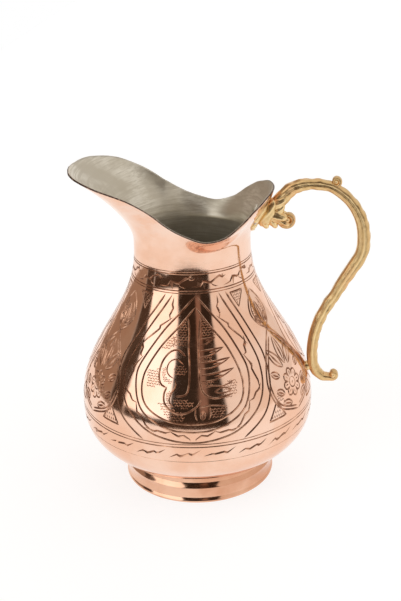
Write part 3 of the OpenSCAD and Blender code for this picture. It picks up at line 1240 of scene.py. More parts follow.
@dataclass
class CopperShell:
    """The raised copper shell: bowl, engraved body, neck and lip, one sheet thick."""

    form: JugForm
    columns: int = 240
    stretch: float = 1.2
    filler: float = 3.3
    cut_slope: float = 0.8
    lip_count: int = 30
    inner_count: int = 46
    bowl_count: int = 14
    clear: float = 1.3
    hair: float = 0.00006

    def flat_lines(self, engraver: Engraver) -> tuple[list, list, list]:
        """Lays the cuts out flat, as lines for their two lips and their middle.

        Args:
            engraver: The finished engraving.

        Returns:
            Flat points, edges between them, and the cuts' flat segments with half widths.
        """
        full = 360 * self.stretch
        points, edges, segments = [], [], []
        for cut in engraver.draw():
            path = cut[:, :2]
            whole_turn = abs(path[-1, 0] - path[0, 0]) == 360
            for lap in (0,) if whole_turn else (-360, 0, 360):
                moved = path + np.array([lap, 0.0])
                if moved[:, 0].max() < -1.5 or moved[:, 0].min() > 361.5:
                    continue
                for side in (-1, 0, 1):
                    line = moved
                    if side and whole_turn:
                        lift = side * cut[:, 2] / engraver.per_height(moved[:, 1])
                        line = np.stack([moved[:, 0], moved[:, 1] + lift], 1)
                    elif side:
                        line = engraver.shifted(moved, side * cut[:, 2])
                    start = len(points)
                    points.extend((line * np.array([self.stretch, 1.0])).tolist())
                    edges.extend((start + k, start + k + 1) for k in range(len(line) - 1))
                flat = np.column_stack([moved[:, 0] * self.stretch, moved[:, 1], cut[:, 2]])
                segments.extend(zip(flat[:-1], flat[1:]))
        bottom, top = engraver.low, engraver.high
        frame_start = len(points)
        points.extend([u, v] for v in (bottom, top) for u in np.linspace(0, full, self.columns + 1))
        for row in range(2):
            base = frame_start + row * (self.columns + 1)
            edges.extend((base + k, base + k + 1) for k in range(self.columns))
        right = self.columns
        edges.append((frame_start, frame_start + right + 1))
        edges.append((frame_start + right, frame_start + 2 * right + 1))
        return points, edges, segments

    def fill_points(self, points: list, low: float, high: float) -> list:
        """Loose points for the plain places, kept clear of the cuts.

        Args:
            points: The flat points of the cuts.
            low: The band's lower edge.
            high: The band's upper edge.

        Returns:
            The loose points.
        """
        taken = set()
        for u, v in points:
            i, j = int(u // self.clear), int(v // self.clear)
            taken.update((i + di, j + dj) for di in (-1, 0, 1) for dj in (-1, 0, 1))
        full = 360 * self.stretch
        rows = int((high - low) / self.filler)
        count = int(full / self.filler)
        loose = []
        for j in range(1, rows):
            v = low + (high - low) * j / rows
            for i in range(count + 1):
                u = full * (i + (0.5 if j % 2 else 0.0)) / count
                on_seam = i == 0 and j % 2 == 0 or i == count or u > full - 0.5
                if not on_seam and (int(u // self.clear), int(v // self.clear)) not in taken:
                    loose.append([u, v])
        return loose

    def engraved_band(self, engraver: Engraver) -> tuple[np.ndarray, np.ndarray, np.ndarray]:
        """Cuts the flat band into triangles that follow every cut.

        Args:
            engraver: The finished engraving.

        Returns:
            Flat points, triangles and the depth at each point, in millimetres.
        """
        points, edges, segments = self.flat_lines(engraver)
        points.extend(self.fill_points(points, engraver.low, engraver.high))
        flat, _, faces, *_ = delaunay_2d_cdt([Vector(p) for p in points], edges, [], 0, 1e-5, False)
        flat = np.array([(p.x, p.y) for p in flat])
        faces = np.array([f for f in faces if len(f) == 3])
        full = 360 * self.stretch
        middle = flat[faces].mean(1)
        inside = ((middle[:, 0] > 0) & (middle[:, 0] < full)
                  & (middle[:, 1] > engraver.low) & (middle[:, 1] < engraver.high))
        faces = faces[inside]
        tree = KDTree(len(flat))
        for i, (u, v) in enumerate(flat.tolist()):
            tree.insert((u, v, 0.0), i)
        tree.balance()
        depth = np.zeros(len(flat))
        pairs_point, pairs_cut = [], []
        reach_out = 1.9 * engraver.outline_w
        for k, (a, b) in enumerate(segments):
            reach = math.hypot(b[0] - a[0], b[1] - a[1]) / 2 + reach_out
            near = tree.find_range(((a[0] + b[0]) / 2, (a[1] + b[1]) / 2, 0.0), reach)
            pairs_point.extend(n[1] for n in near)
            pairs_cut.extend([k] * len(near))
        who = np.array(pairs_point)
        cut = np.array(segments)[np.array(pairs_cut)]
        start, end = cut[:, 0], cut[:, 1]
        height = (start[:, 1] + end[:, 1]) / 2
        across = engraver.per_degree(height) / self.stretch
        metric = np.stack([across, engraver.per_height(height)], 1)
        ab = (end[:, :2] - start[:, :2]) * metric
        ap = (flat[who] - start[:, :2]) * metric
        t = np.clip((ab * ap).sum(1) / np.maximum((ab * ab).sum(1), 1e-9), 0, 1)
        gap = np.linalg.norm(ap - t[:, None] * ab, axis=1)
        wide = start[:, 2] + (end[:, 2] - start[:, 2]) * t
        sunk = self.cut_slope * (wide - gap)
        sunk[sunk < 0.1 * self.cut_slope * wide + 0.004] = 0
        np.maximum.at(depth, who, sunk)
        return self.weld(flat, faces, depth, full)

    @staticmethod
    def weld(flat: np.ndarray, faces: np.ndarray, depth: np.ndarray,
             full: float) -> tuple[np.ndarray, np.ndarray, np.ndarray]:
        """Joins the band's two ends.

        Args:
            flat: Flat points.
            faces: Triangles.
            depth: Depth at each point.
            full: The flat length of a whole turn.

        Returns:
            The points, triangles and depths without the second end.
        """
        left = np.where(np.abs(flat[:, 0]) < 1e-3)[0]
        right = np.where(np.abs(flat[:, 0] - full) < 1e-3)[0]
        target = np.arange(len(flat))
        for i in right:
            twin = left[np.argmin(np.abs(flat[left, 1] - flat[i, 1]))]
            if abs(flat[twin, 1] - flat[i, 1]) < 0.02:
                target[i] = twin
                depth[twin] = max(depth[twin], depth[i])
        faces = target[faces]
        first, second, third = faces.T
        faces = faces[(first != second) & (second != third) & (first != third)]
        used = np.unique(faces)
        renumber = np.zeros(len(flat), int)
        renumber[used] = np.arange(len(used))
        return flat[used], renumber[faces], depth[used]

    def foot_rows(self, turn: np.ndarray, top: float) -> np.ndarray:
        """Rows of points from the middle of the bottom up to the engraved band.

        Args:
            turn: The columns' angles, in degrees.
            top: The band's lower edge.

        Returns:
            An array of rows, columns and coordinates.
        """
        form = self.form
        seat_r = form.collar_r - form.seat_in
        seat_z = form.foot_h - form.seat_in * form.seat_slope
        corner = [(0.012, form.dish_z), (0.026, form.dish_z), (form.dish_r - 0.002, form.dish_z),
                  (form.dish_r, form.dish_z + 0.0001), (form.dish_r + 0.002, form.dish_z + 0.0004),
                  (seat_r, seat_z), (form.collar_r - 0.001, form.foot_h - 0.0006),
                  (form.collar_r, form.foot_h)]
        shares = np.arange(1, self.bowl_count + 1) / self.bowl_count
        heights = form.foot_h + (top - form.foot_h) * shares ** 1.3
        corner += [(float(form.radius(z)), float(z)) for z in heights[:-1]]
        return np.array([ring(turn, r, z) for r, z in corner])

    def inner_rows(self, turn: np.ndarray, outside: np.ndarray, top: float) -> np.ndarray:
        """Rows of points of the upper shell: its outside, over its edge and down its inside.

        Args:
            turn: The columns' angles, in degrees.
            outside: Rows of the neck's and the lip's outside.
            top: The engraved band's upper edge.

        Returns:
            An array of rows, columns and coordinates.
        """
        form = self.form
        away = grid_normals(outside)
        inside = outside - away * form.sheet_t
        crown = outside[-1:] - away[-1:] * form.sheet_t / 2
        crown = crown + unit(outside[-1:] - outside[-2:-1]) * form.sheet_t * 0.3
        edge = [outside[-1:] * 0.6 + crown * 0.4, crown, inside[-1:] * 0.6 + crown * 0.4]
        depth = form.sheet_t - self.hair
        wall = []
        for z in np.linspace(top, form.foot_h + form.wall_start, self.inner_count)[1:]:
            spot, way = form.body_point(turn, np.full(self.columns, z))
            wall.append(spot - way * depth)
        bottom = form.bottom_rows(turn, depth)[::-1]
        return np.concatenate([outside[1:], *edge, inside[::-1], np.array(wall), bottom])

    def build(self) -> bpy.types.Object:
        """Builds and dresses the shell.

        Returns:
            The shell.
        """
        form = self.form
        engraver = Engraver(form)
        flat, cut_faces, depth = self.engraved_band(engraver)
        turn = np.arange(self.columns) * 360 / self.columns
        spots, ways = form.body_point(flat[:, 0] / self.stretch, flat[:, 1] * MM)
        band = spots - ways * (depth * MM)[:, None]
        low, high = engraver.low * MM, engraver.high * MM
        lower = self.foot_rows(turn, low)
        neck = [ring(turn, form.radius(z), z) for z in np.linspace(high, form.neck_z, 4)]
        outside = np.concatenate([np.array(neck), form.lip_rows(turn, self.lip_count)])
        upper = self.inner_rows(turn, outside, high)
        first_band = lower.shape[0] * self.columns
        first_upper = first_band + len(band)
        middle = [[0, 0, form.dish_z], [0, 0, form.dish_z + form.sheet_t - self.hair]]
        points = np.concatenate([lower.reshape(-1, 3), band, upper.reshape(-1, 3), middle])
        pole_out, pole_in = len(points) - 2, len(points) - 1
        column = np.round(flat[:, 0] / self.stretch / (360 / self.columns)).astype(int) % self.columns
        rings = []
        for level in (engraver.low, engraver.high):
            rim = np.where(np.abs(flat[:, 1] - level) < 1e-4)[0]
            numbers = np.zeros(self.columns, int)
            numbers[column[rim]] = rim + first_band
            rings.append(numbers)
        low_ring, high_ring = rings
        faces = grid_faces(lower.shape[0], self.columns)
        last_low = first_band - self.columns
        last_in = pole_out - self.columns
        for c in range(self.columns):
            d = (c + 1) % self.columns
            faces.append((pole_out, d, c))
            faces.append((last_in + c, last_in + d, pole_in))
            faces.append((last_low + c, last_low + d, low_ring[d], low_ring[c]))
            faces.append((high_ring[c], high_ring[d], first_upper + d, first_upper + c))
        rim_from = len(faces) + (outside.shape[0] - 2) * self.columns
        rim_to = rim_from + 4 * self.columns
        faces += grid_faces(upper.shape[0], self.columns, first_upper)
        cut_first = len(faces)
        faces += (cut_faces + first_band).tolist()
        faces = [tuple(int(n) for n in f) for f in faces]
        normals = np.zeros_like(points)
        seam = ring(turn, form.radius(low), low)[None]
        normals[:first_band] = grid_normals(np.concatenate([lower, seam]))[:-1].reshape(-1, 3)
        normals[first_band:first_upper] = ways
        whole = np.concatenate([outside[:1], upper])
        normals[first_upper:pole_out] = grid_normals(whole)[1:].reshape(-1, 3)
        normals[pole_out] = (0, 0, -1)
        normals[pole_in] = (0, 0, 1)
        piece = mesh_piece("copper_shell", points, faces)
        material = np.zeros(len(faces), np.int32)
        material[cut_first:][(depth[cut_faces] > 0).any(1)] = 1
        material[rim_from:rim_to] = 2
        piece.data.polygons.foreach_set("material_index", material)
        self.set_normals(piece.data, normals, material == 1)
        for finish in (PolishedCopper(), CutCopper(), WornEdge()):
            piece.data.materials.append(finish.material())
        return finish_piece(piece, Slot.COPPER, "body_shell")

    @staticmethod
    def set_normals(mesh: bpy.types.Mesh, normals: np.ndarray, flat_faces: np.ndarray) -> None:
        """Gives plain faces the form's own normals and leaves the cuts' faces flat.

        Args:
            mesh: The shell's mesh.
            normals: A normal for each point.
            flat_faces: True for each face of a cut.
        """
        corner_point = np.zeros(len(mesh.loops), np.int32)
        mesh.loops.foreach_get("vertex_index", corner_point)
        face_normal = np.zeros(len(mesh.polygons) * 3)
        mesh.polygons.foreach_get("normal", face_normal)
        sizes = np.zeros(len(mesh.polygons), np.int32)
        mesh.polygons.foreach_get("loop_total", sizes)
        owner = np.repeat(np.arange(len(sizes)), sizes)
        by_face = face_normal.reshape(-1, 3)[owner]
        custom = np.where(flat_faces[owner][:, None], by_face, normals[corner_point])
        mesh.normals_split_custom_set(custom.tolist())


# ------------------------------------------------------------------ tin lining


@dataclass
class TinLining:
    """The tin wiped over the inside of the shell, seen through the mouth."""

    form: JugForm
    columns: int = 240
    lip_count: int = 30
    body_count: int = 44
    hair: float = 0.00002

    def build(self) -> bpy.types.Object:
        """Builds and dresses the lining.

        Returns:
            The lining.
        """
        form = self.form
        turn = np.arange(self.columns) * 360 / self.columns
        heights = np.linspace(form.foot_h + form.wall_start, form.neck_z, self.body_count)
        wall = np.array([ring(turn, form.radius(z), z) for z in heights])
        outside = np.concatenate([wall, form.lip_rows(turn, self.lip_count)])
        away = grid_normals(outside)
        depths = (form.sheet_t + self.hair, form.sheet_t + form.tin_t)
        back, face = [np.concatenate([form.bottom_rows(turn, d), outside - away * d]) for d in depths]
        middle = [[0, 0, form.dish_z + d] for d in depths]
        points = np.concatenate([back.reshape(-1, 3), face[::-1].reshape(-1, 3), middle])
        piece = mesh_piece("tin_lining_wiped", points, closed_faces(2 * len(back), self.columns))
        piece.data.materials.append(WipedTin().material())
        return finish_piece(piece, Slot.TIN, "tin_lining")


# ------------------------------------------------------------------------ foot


@dataclass
class Foot:
    """The spun foot with its ridge and rolled lip, and the solder that holds it."""

    form: JugForm
    sheet_t: float = 0.0012
    ridge_z: float = 0.011
    bead: float = 0.0023
    sides: int = 192
    lip_steps: tuple = ((0.0006, 0.0), (0.0001, 0.0005), (0.0, 0.0011), (0.0002, 0.0018),
                        (0.0007, 0.0026), (0.0012, 0.0040), (0.0013, 0.0062), (0.0012, 0.0082),
                        (0.0008, 0.0100))
    collar_steps: tuple = ((0.0006, 0.28), (-0.0001, 0.48), (-0.0003, 0.72), (0.0, 1.0))
    bead_steps: tuple = ((0.0, 1.0), (0.15, 0.98), (0.4, 0.84), (0.72, 0.72), (1.0, 0.62),
                         (0.5, 0.34), (0.0, 0.0))

    def outline(self) -> Points:
        """The foot's outside from the floor up, rounded.

        Returns:
            Radius and height of each ring.
        """
        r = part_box("foot_ring")[1].x
        top = self.form.foot_h
        corners = [(r - inset, z) for inset, z in self.lip_steps]
        corners += [(r - 0.0005, self.ridge_z), (r - 0.0010, self.ridge_z + 0.0008)]
        corners += [(self.form.collar_r + out, self.ridge_z + share * (top - self.ridge_z))
                    for out, share in self.collar_steps]
        last = len(corners) - 1
        path = along(np.array(corners), np.linspace(0, last, 3 * last + 1))
        return [(float(min(p[0], r)), float(np.clip(p[1], 0, top))) for p in path]

    def build_ring(self) -> bpy.types.Object:
        """Builds and dresses the foot.

        Returns:
            The foot.
        """
        form = self.form
        outside = self.outline()
        inside = [(r - self.sheet_t, z) for r, z in outside[-2::-3]]
        inside[0] = (form.collar_r - self.sheet_t, form.foot_h - self.sheet_t * form.seat_slope)
        piece = turned_piece("foot_spun", outside + inside, self.sides)
        # painted shade: the spun foot's copper is darker and more orange than the body's, standing in
        # for the shade under the belly
        spun = PolishedCopper("spun_copper_painted_shade", (0.86, 0.53, 0.37), (0.70, 0.36, 0.22),
                              rough_low=0.1, rough_high=0.22)
        piece.data.materials.append(spun.material())
        return finish_piece(piece, Slot.COPPER, "foot_ring")

    def build_solder(self) -> bpy.types.Object:
        """Builds and dresses the solder bead, lumpy as wiped by hand.

        Returns:
            The bead.
        """
        r = self.form.collar_r - self.sheet_t - 0.0001
        z = self.form.foot_h - self.sheet_t * self.form.seat_slope - 0.0002
        profile = [(r - self.bead * inward, z - self.bead * down) for inward, down in self.bead_steps]
        piece = turned_piece("solder_bead", profile, self.sides)
        for v in piece.data.vertices:
            a = math.atan2(v.co.y, v.co.x)
            lump = math.sin(17 * a) + math.sin(29 * a + 1.1) + math.sin(53 * a + 2.0)
            if v.co.z < z - self.bead * 0.5:
                v.co.z += 0.00007 * (lump + 1.5)
        piece.data.materials.append(SoftSolder().material())
        return finish_piece(piece, Slot.SOLDER, "foot_solder")


# ---------------------------------------------------------------------- handle


@dataclass
class Handle:
    """The cast handle: leaf plate, scroll, arched arm with flutes and leaves, and curls."""

    form: JugForm
    reach: float = 0.0515
    thick: float = 0.0088
    wide: float = 0.0084
    joint_z: float = 0.080
    plate_t: float = 0.0024
    scroll_r: float = 0.0080
    curl_r: float = 0.005
    thumb_r: float = 0.0047
    boss_r: float = 0.0034
    boss_l: float = 0.0012
    root_t: float = 0.6
    plate_reach: float = 22.5
    skin: float = 0.00003
    curl_at: tuple = (0.0132, -0.0076)
    scroll_at: tuple = (0.0063, -0.011)
    thumb_at: tuple = (0.0375, 0.0144)
    around: int = 40
    line: tuple = ((0, 0, 1.1), (0.18, -0.07, 1.05), (0.33, -0.1, 0.9), (0.53, -0.107, 0.82),
                   (0.72, -0.09, 0.82), (0.86, -0.04, 0.84), (0.955, 0.025, 0.88),
                   (1.005, 0.11, 0.95), (0.99, 0.21, 1), (0.925, 0.3, 1), (0.79, 0.38, 1),
                   (0.63, 0.465, 0.94),
                   (0.475, 0.555, 0.88), (0.315, 0.64, 0.86), (0.18, 0.73, 0.87), (0.09, 0.815, 0.86),
                   (0.03, 0.91, 0.86), (0, 1, 0.86))
    leaves: tuple = ((-0.0066, -0.0064, 0.0104, -62, 0.44, 0.50),
                     (-0.0020, -0.0084, 0.0090, 8, 0.44, 0.52),
                     (-0.0094, -0.0118, 0.0058, 62, 0.46, 0.60),
                     (-0.0036, -0.0118, 0.0056, 60, 0.46, 0.60),
                     (0.0, 0.0, 0.0070, -35, 0.48, 0.56),
                     (0.0030, -0.0120, 0.0058, 30, 0.5, 0.6),
                     (0.0004, -0.0048, 0.0060, -50, 0.5, 0.6))

    def joints(self) -> tuple[np.ndarray, np.ndarray, np.ndarray, np.ndarray]:
        """Where the handle is fixed.

        Returns:
            Its root on the lip, its two joints and the belly's point, as x and z.
        """
        r, z = self.form.lip(np.array(0.0), np.array(self.root_t))
        root = np.array([float(r), float(z)])
        belly = np.array([float(self.form.radius(np.array(self.joint_z))), self.joint_z])
        away = unit(np.array([1.0, -float(self.form.slope(np.array(self.joint_z)))]))
        low = belly + (self.boss_l + 0.00375) * away
        return root, root + np.array([0.0084, 0.0028]), low, belly

    @staticmethod
    def spiral(centre: np.ndarray, radius: float, first: float, last: float, thick: float,
               wide: float, steps: int) -> Points:
        """A curl wound inwards round a centre.

        Args:
            centre: Its middle, as x and z.
            radius: Its outer radius.
            first: The angle where it begins, in degrees.
            last: The angle where it ends.
            thick: Half of the bar's thickness at the start.
            wide: Half of the bar's width.
            steps: How many stations it has.

        Returns:
            Stations of x, z, half thickness and half width.
        """
        stations = []
        for i in range(steps + 1):
            s = i / steps
            a = math.radians(first + s * (last - first))
            r = (radius - thick) * (1 - 0.5 * s)
            stations.append((centre[0] + r * math.cos(a), centre[1] + r * math.sin(a),
                             thick * (1 - 0.55 * s), wide * (1 - 0.12 * s)))
        return stations

    def arm_stations(self) -> Points:
        """Stations of the arm from its root to the end of the lower curl.

        Returns:
            Stations of x, z, half thickness and half width.
        """
        root, top, low, _ = self.joints()
        last = len(self.line) - 1
        fine = along(np.array(self.line), np.linspace(0, last, 8 * last + 1))
        stations = [(root[0] + 0.0012, root[1] - 0.0006, 0.0012, 0.0022),
                    (root[0] + 0.0042, root[1] + 0.0006, 0.0036, 0.0038)]
        for u, v, k in fine:
            spot = top + v * (low - top)
            near = 0.0008 * min(1.0, max(0.0, (v - 0.78) / 0.16))
            stations.append((spot[0] + u * self.reach - near, spot[1], k * self.thick / 2,
                             min(1.0, k + 0.05) * self.wide / 2))
        stations.append((low[0] + 0.0016, low[1] - 0.0052, 0.0036, self.wide * 0.46))
        stations.append((low[0] + 0.006, low[1] - 0.0094, 0.003, self.wide * 0.46))
        centre = low + np.array(self.curl_at)
        stations += self.spiral(centre, self.curl_r, 240, 530, 0.0023, self.wide * 0.45, 22)
        return stations

    def relief(self, s: np.ndarray, around: np.ndarray, length: float) -> np.ndarray:
        """How far the cast ornament stands proud of the plain bar.

        Args:
            s: Distance along the arm, in metres.
            around: Angle round the bar, 0 on its outer side, in degrees.
            length: The arm's whole length.

        Returns:
            Heights in metres.
        """
        share = s / length
        side = np.abs(around)

        def hump(x: np.ndarray, middle: float, reach: float) -> np.ndarray:
            """A soft hump of height 1."""
            return np.exp(-((x - middle) / reach) ** 2)

        turn = 2 * math.pi * s
        ends = np.clip(share / 0.05, 0, 1) * np.clip((0.9 - share) / 0.06, 0, 1)
        flutes = 0.16 * hump(side, 100, 12) - 0.5 * hump(side, 78, 7) - 0.3 * hump(side, 122, 7)
        drift = 1.4 * np.sin(s / 0.013) + 0.8 * np.sin(s / 0.0071 + 1.0)
        scales = np.sin(turn / 0.0088 - np.radians(side) * 2.6 + drift)
        leafy = 0.26 * np.clip(scales, -0.6, 0.8) * np.exp(-(side / 52) ** 4)
        spine = 0.16 * hump(side, 0, 14)
        knots = hump(share, 0.66, 0.06) + 0.6 * hump(share, 0.16, 0.09)
        petals = 0.34 * knots * np.sin(turn / 0.0125 + drift) * np.cos(np.radians(side) * 2.5)
        twist = 0.16 * hump(share, 0.1, 0.08) * np.sin(turn / 0.0062 + np.radians(around) * 2)
        return ((flutes + leafy) * ends + spine + petals + twist) * MM

    def swept(self, stations: Points, ornate: bool) -> tuple[np.ndarray, list[tuple[int, ...]]]:
        """Sweeps a rounded bar through stations in the handle's plane.

        Args:
            stations: x, z, half thickness and half width of each.
            ornate: True to cast the arm's ornament on it.

        Returns:
            Points and faces.
        """
        path = np.array(stations)
        steps = np.linalg.norm(np.diff(path[:, :2], axis=0), axis=1)
        length = np.concatenate([[0], np.cumsum(steps)])
        count = max(24, int(length[-1] / (0.0007 if ornate else 0.0009)))
        places = np.linspace(0, length[-1], count)
        path = np.stack([np.interp(places, length, path[:, k]) for k in range(4)], 1)
        for _ in range(2 if ornate else 0):
            path[1:-1] = (path[:-2] + 2 * path[1:-1] + path[2:]) / 4
        ahead = unit(np.gradient(path[:, :2], axis=0))
        around = (np.arange(self.around) * 360 / self.around + 180) % 360 - 180
        a = np.radians(around)
        proud = np.zeros((count, self.around))
        if ornate:
            proud = self.relief(places[:, None], around[None, :], float(length[-1]))
        tall = path[:, 2:3] + proud
        broad = path[:, 3:4] + proud
        square = (np.abs(np.cos(a)) ** 3 + np.abs(np.sin(a)) ** 3) ** (-1 / 3) * 0.96
        h = tall * (np.cos(a) * square)[None, :]
        w = broad * (np.sin(a) * square)[None, :]
        x = path[:, 0:1] - ahead[:, 1:2] * h
        z = path[:, 1:2] + ahead[:, 0:1] * h
        points = np.stack([x, w, z], -1).reshape(-1, 3)
        tip = path[-1, :2] + ahead[-1] * path[-1, 2] * 0.6
        ends = np.array([[path[0, 0], 0, path[0, 1]], [tip[0], 0, tip[1]]])
        return np.concatenate([points, ends]), closed_faces(count, self.around)

    def leaf_plate(self) -> tuple[np.ndarray, list[tuple[int, ...]]]:
        """The three-lobed leaf that lies against the back of the lip.

        Returns:
            Points and faces.
        """
        ups = np.linspace(0, 1, 42)
        outs = np.linspace(-1, 1, 41)
        lobes = 0.34 + 0.62 * np.sin(np.clip(ups, 0, 1) * math.pi) ** 0.7
        lobes *= 1 - 0.26 * np.exp(-((ups - 0.42) / 0.07) ** 2)
        lobes[0] = 0.05
        lobes[-1] = 0.3
        fronts, backs = [], []
        for up, lobe in zip(ups, lobes):
            turn = outs * lobe * self.plate_reach
            t = 0.15 + 0.58 * up + 0.05 * (outs ** 2) * (0.5 - up)
            r, z = self.form.lip(turn, t)
            r1, z1 = self.form.lip(turn, t + 0.01)
            away = unit(np.stack([z1 - z, r - r1], -1))
            veins = 0.22 * np.cos(outs * 9.5 + 3.0 * up) * (1 - outs ** 2)
            swell = (1 - outs ** 4) ** 0.5 * min(1.0, 9 * up, 7 * (1 - up) + 0.15)
            height = self.plate_t * np.clip(swell * (0.78 + veins), 0.02, 1)
            for rows, lift in ((fronts, height), (backs, self.skin)):
                rows.append(ring(turn, r + away[:, 0] * lift, z + away[:, 1] * lift))
        rows, cols = len(ups), len(outs)
        points = np.concatenate([np.array(fronts).reshape(-1, 3), np.array(backs).reshape(-1, 3)])
        half = rows * cols
        faces = []
        for i in range(rows - 1):
            for c in range(cols - 1):
                n = i * cols + c
                faces.append((n, n + 1, n + cols + 1, n + cols))
                faces.append((half + n + 1, half + n, half + n + cols, half + n + cols + 1))
            for c, turned in ((0, False), (cols - 1, True)):
                n = i * cols + c
                quad = (n, n + cols, half + n + cols, half + n)
                faces.append(quad[::-1] if turned else quad)
        for c in range(cols - 1):
            n = (rows - 1) * cols + c
            faces.append((n, n + 1, half + n + 1, half + n))
            faces.append((half + c, half + c + 1, c + 1, c))
        return points, faces

    def ball(self, spot: np.ndarray, radius: float, flat: float) -> bpy.types.Object:
        """A flattened button in the eye of a curl, cut round its middle.

        Args:
            spot: Its place, as x and z.
            radius: Its radius.
            flat: Half of its width across the handle.

        Returns:
            The button.
        """
        bpy.ops.object.select_all(action="DESELECT")
        bpy.ops.mesh.primitive_uv_sphere_add(segments=28, ring_count=16, radius=radius,
                                             location=(spot[0], 0, spot[1]),
                                             rotation=(math.radians(90), 0, 0))
        button = bpy.context.object
        button.scale = (1, 1, flat / radius)
        bpy.ops.object.transform_apply(location=True, rotation=True, scale=True)
        bpy.ops.object.shade_smooth()
        return button

    def boss(self, low: np.ndarray, belly: np.ndarray) -> bpy.types.Object:
        """The round boss between the arm and the belly.

        Args:
            low: The lower joint, as x and z.
            belly: The belly's point, as x and z.

        Returns:
            The boss.
        """
        r = self.boss_r
        profile = [(0, 0), (r, 0), (r, 0.0009), (r * 0.92, 0.0016), (r * 0.9, 0.0032), (0, 0.0033)]
        boss = turned_piece("handle_boss", profile, 40)
        away = unit(low - belly)
        tilt = Matrix.Rotation(math.atan2(away[0], away[1]), 4, "Y")
        boss.data.transform(Matrix.Translation((belly[0], 0, belly[1])) @ tilt)
        return boss

    def build(self) -> bpy.types.Object:
        """Builds and dresses the handle.

        Returns:
            The handle.
        """
        _, top, low, belly = self.joints()
        scroll_centre = top + np.array(self.scroll_at)
        thumb_centre = top + np.array(self.thumb_at)
        scroll = [(top[0] + 0.0012, top[1] - 0.0006, 0.0033, self.wide * 0.5)]
        scroll += self.spiral(scroll_centre, self.scroll_r, 150, 470, 0.0026, self.wide * 0.47, 34)
        thumb = self.spiral(thumb_centre, self.thumb_r, 245, 590, 0.0016, self.wide * 0.38, 28)
        shapes = (("arm", self.swept(self.arm_stations(), True)),
                  ("scroll", self.swept(scroll, False)),
                  ("thumb", self.swept(thumb, False)),
                  ("plate", self.leaf_plate()))
        pieces = [mesh_piece("handle_" + name, *shape) for name, shape in shapes]
        pieces += [self.ball(scroll_centre, 0.0026, 0.0048), self.ball(thumb_centre, 0.0019, 0.0037),
                   self.ball(low + np.array(self.curl_at), 0.0025, 0.0045)]
        pieces += self.acanthus(top)
        pieces.append(self.boss(low, belly))
        handle = joined("handle_cast", pieces)
        self.keep_outside(handle)
        handle.data.materials.append(CastBrass().material())
        return finish_piece(handle, Slot.BRASS, "handle")

    def keep_outside(self, handle: bpy.types.Object) -> None:
        """Presses the handle's hidden backs flat against the outside of the lip.

        Args:
            handle: The joined handle.
        """
        t = np.linspace(0, 1, 61)
        for v in handle.data.vertices:
            r = math.hypot(v.co.x, v.co.y)
            if v.co.z < self.form.neck_z or r > 0.07:
                continue
            turn = math.degrees(math.atan2(v.co.y, v.co.x))
            radii, heights = self.form.lip(np.full_like(t, turn), t)
            wall = float(np.interp(v.co.z, heights, radii)) + self.skin
            if v.co.z < heights[-1] and r < wall:
                v.co.x *= wall / r
                v.co.y *= wall / r

    def acanthus(self, top: np.ndarray) -> list[bpy.types.Object]:
        """Small curled leaves that cover the joint of arm, scroll and plate.

        Args:
            top: The upper joint, as x and z.

        Returns:
            The leaves.
        """
        made = []
        for dx, dz, size, lean, broad, tall in self.leaves:
            for side in (-1, 1):
                bpy.ops.object.select_all(action="DESELECT")
                bpy.ops.mesh.primitive_uv_sphere_add(
                    segments=28, ring_count=18, radius=size,
                    location=(top[0] + dx, side * 0.0021, top[1] + dz),
                    rotation=(0, math.radians(lean), side * 0.16))
                leaf = bpy.context.object
                leaf.scale = (1.0, broad, tall)
                bpy.ops.object.transform_apply(location=False, rotation=False, scale=True)
                for v in leaf.data.vertices:
                    share = v.co.x / size
                    ribs = 1 - 0.16 * abs(math.sin(v.co.z / (size * tall) * 4.2 + 2.0 * share))
                    v.co.y *= ribs
                    v.co.z *= 1 - 0.3 * max(0.0, share) + 0.06 * math.sin(9 * share)
                bpy.ops.object.transform_apply(location=True, rotation=True, scale=True)
                bpy.ops.object.shade_smooth()
                made.append(leaf)
        return made


# ---------------------------------------------------------------------- rivets


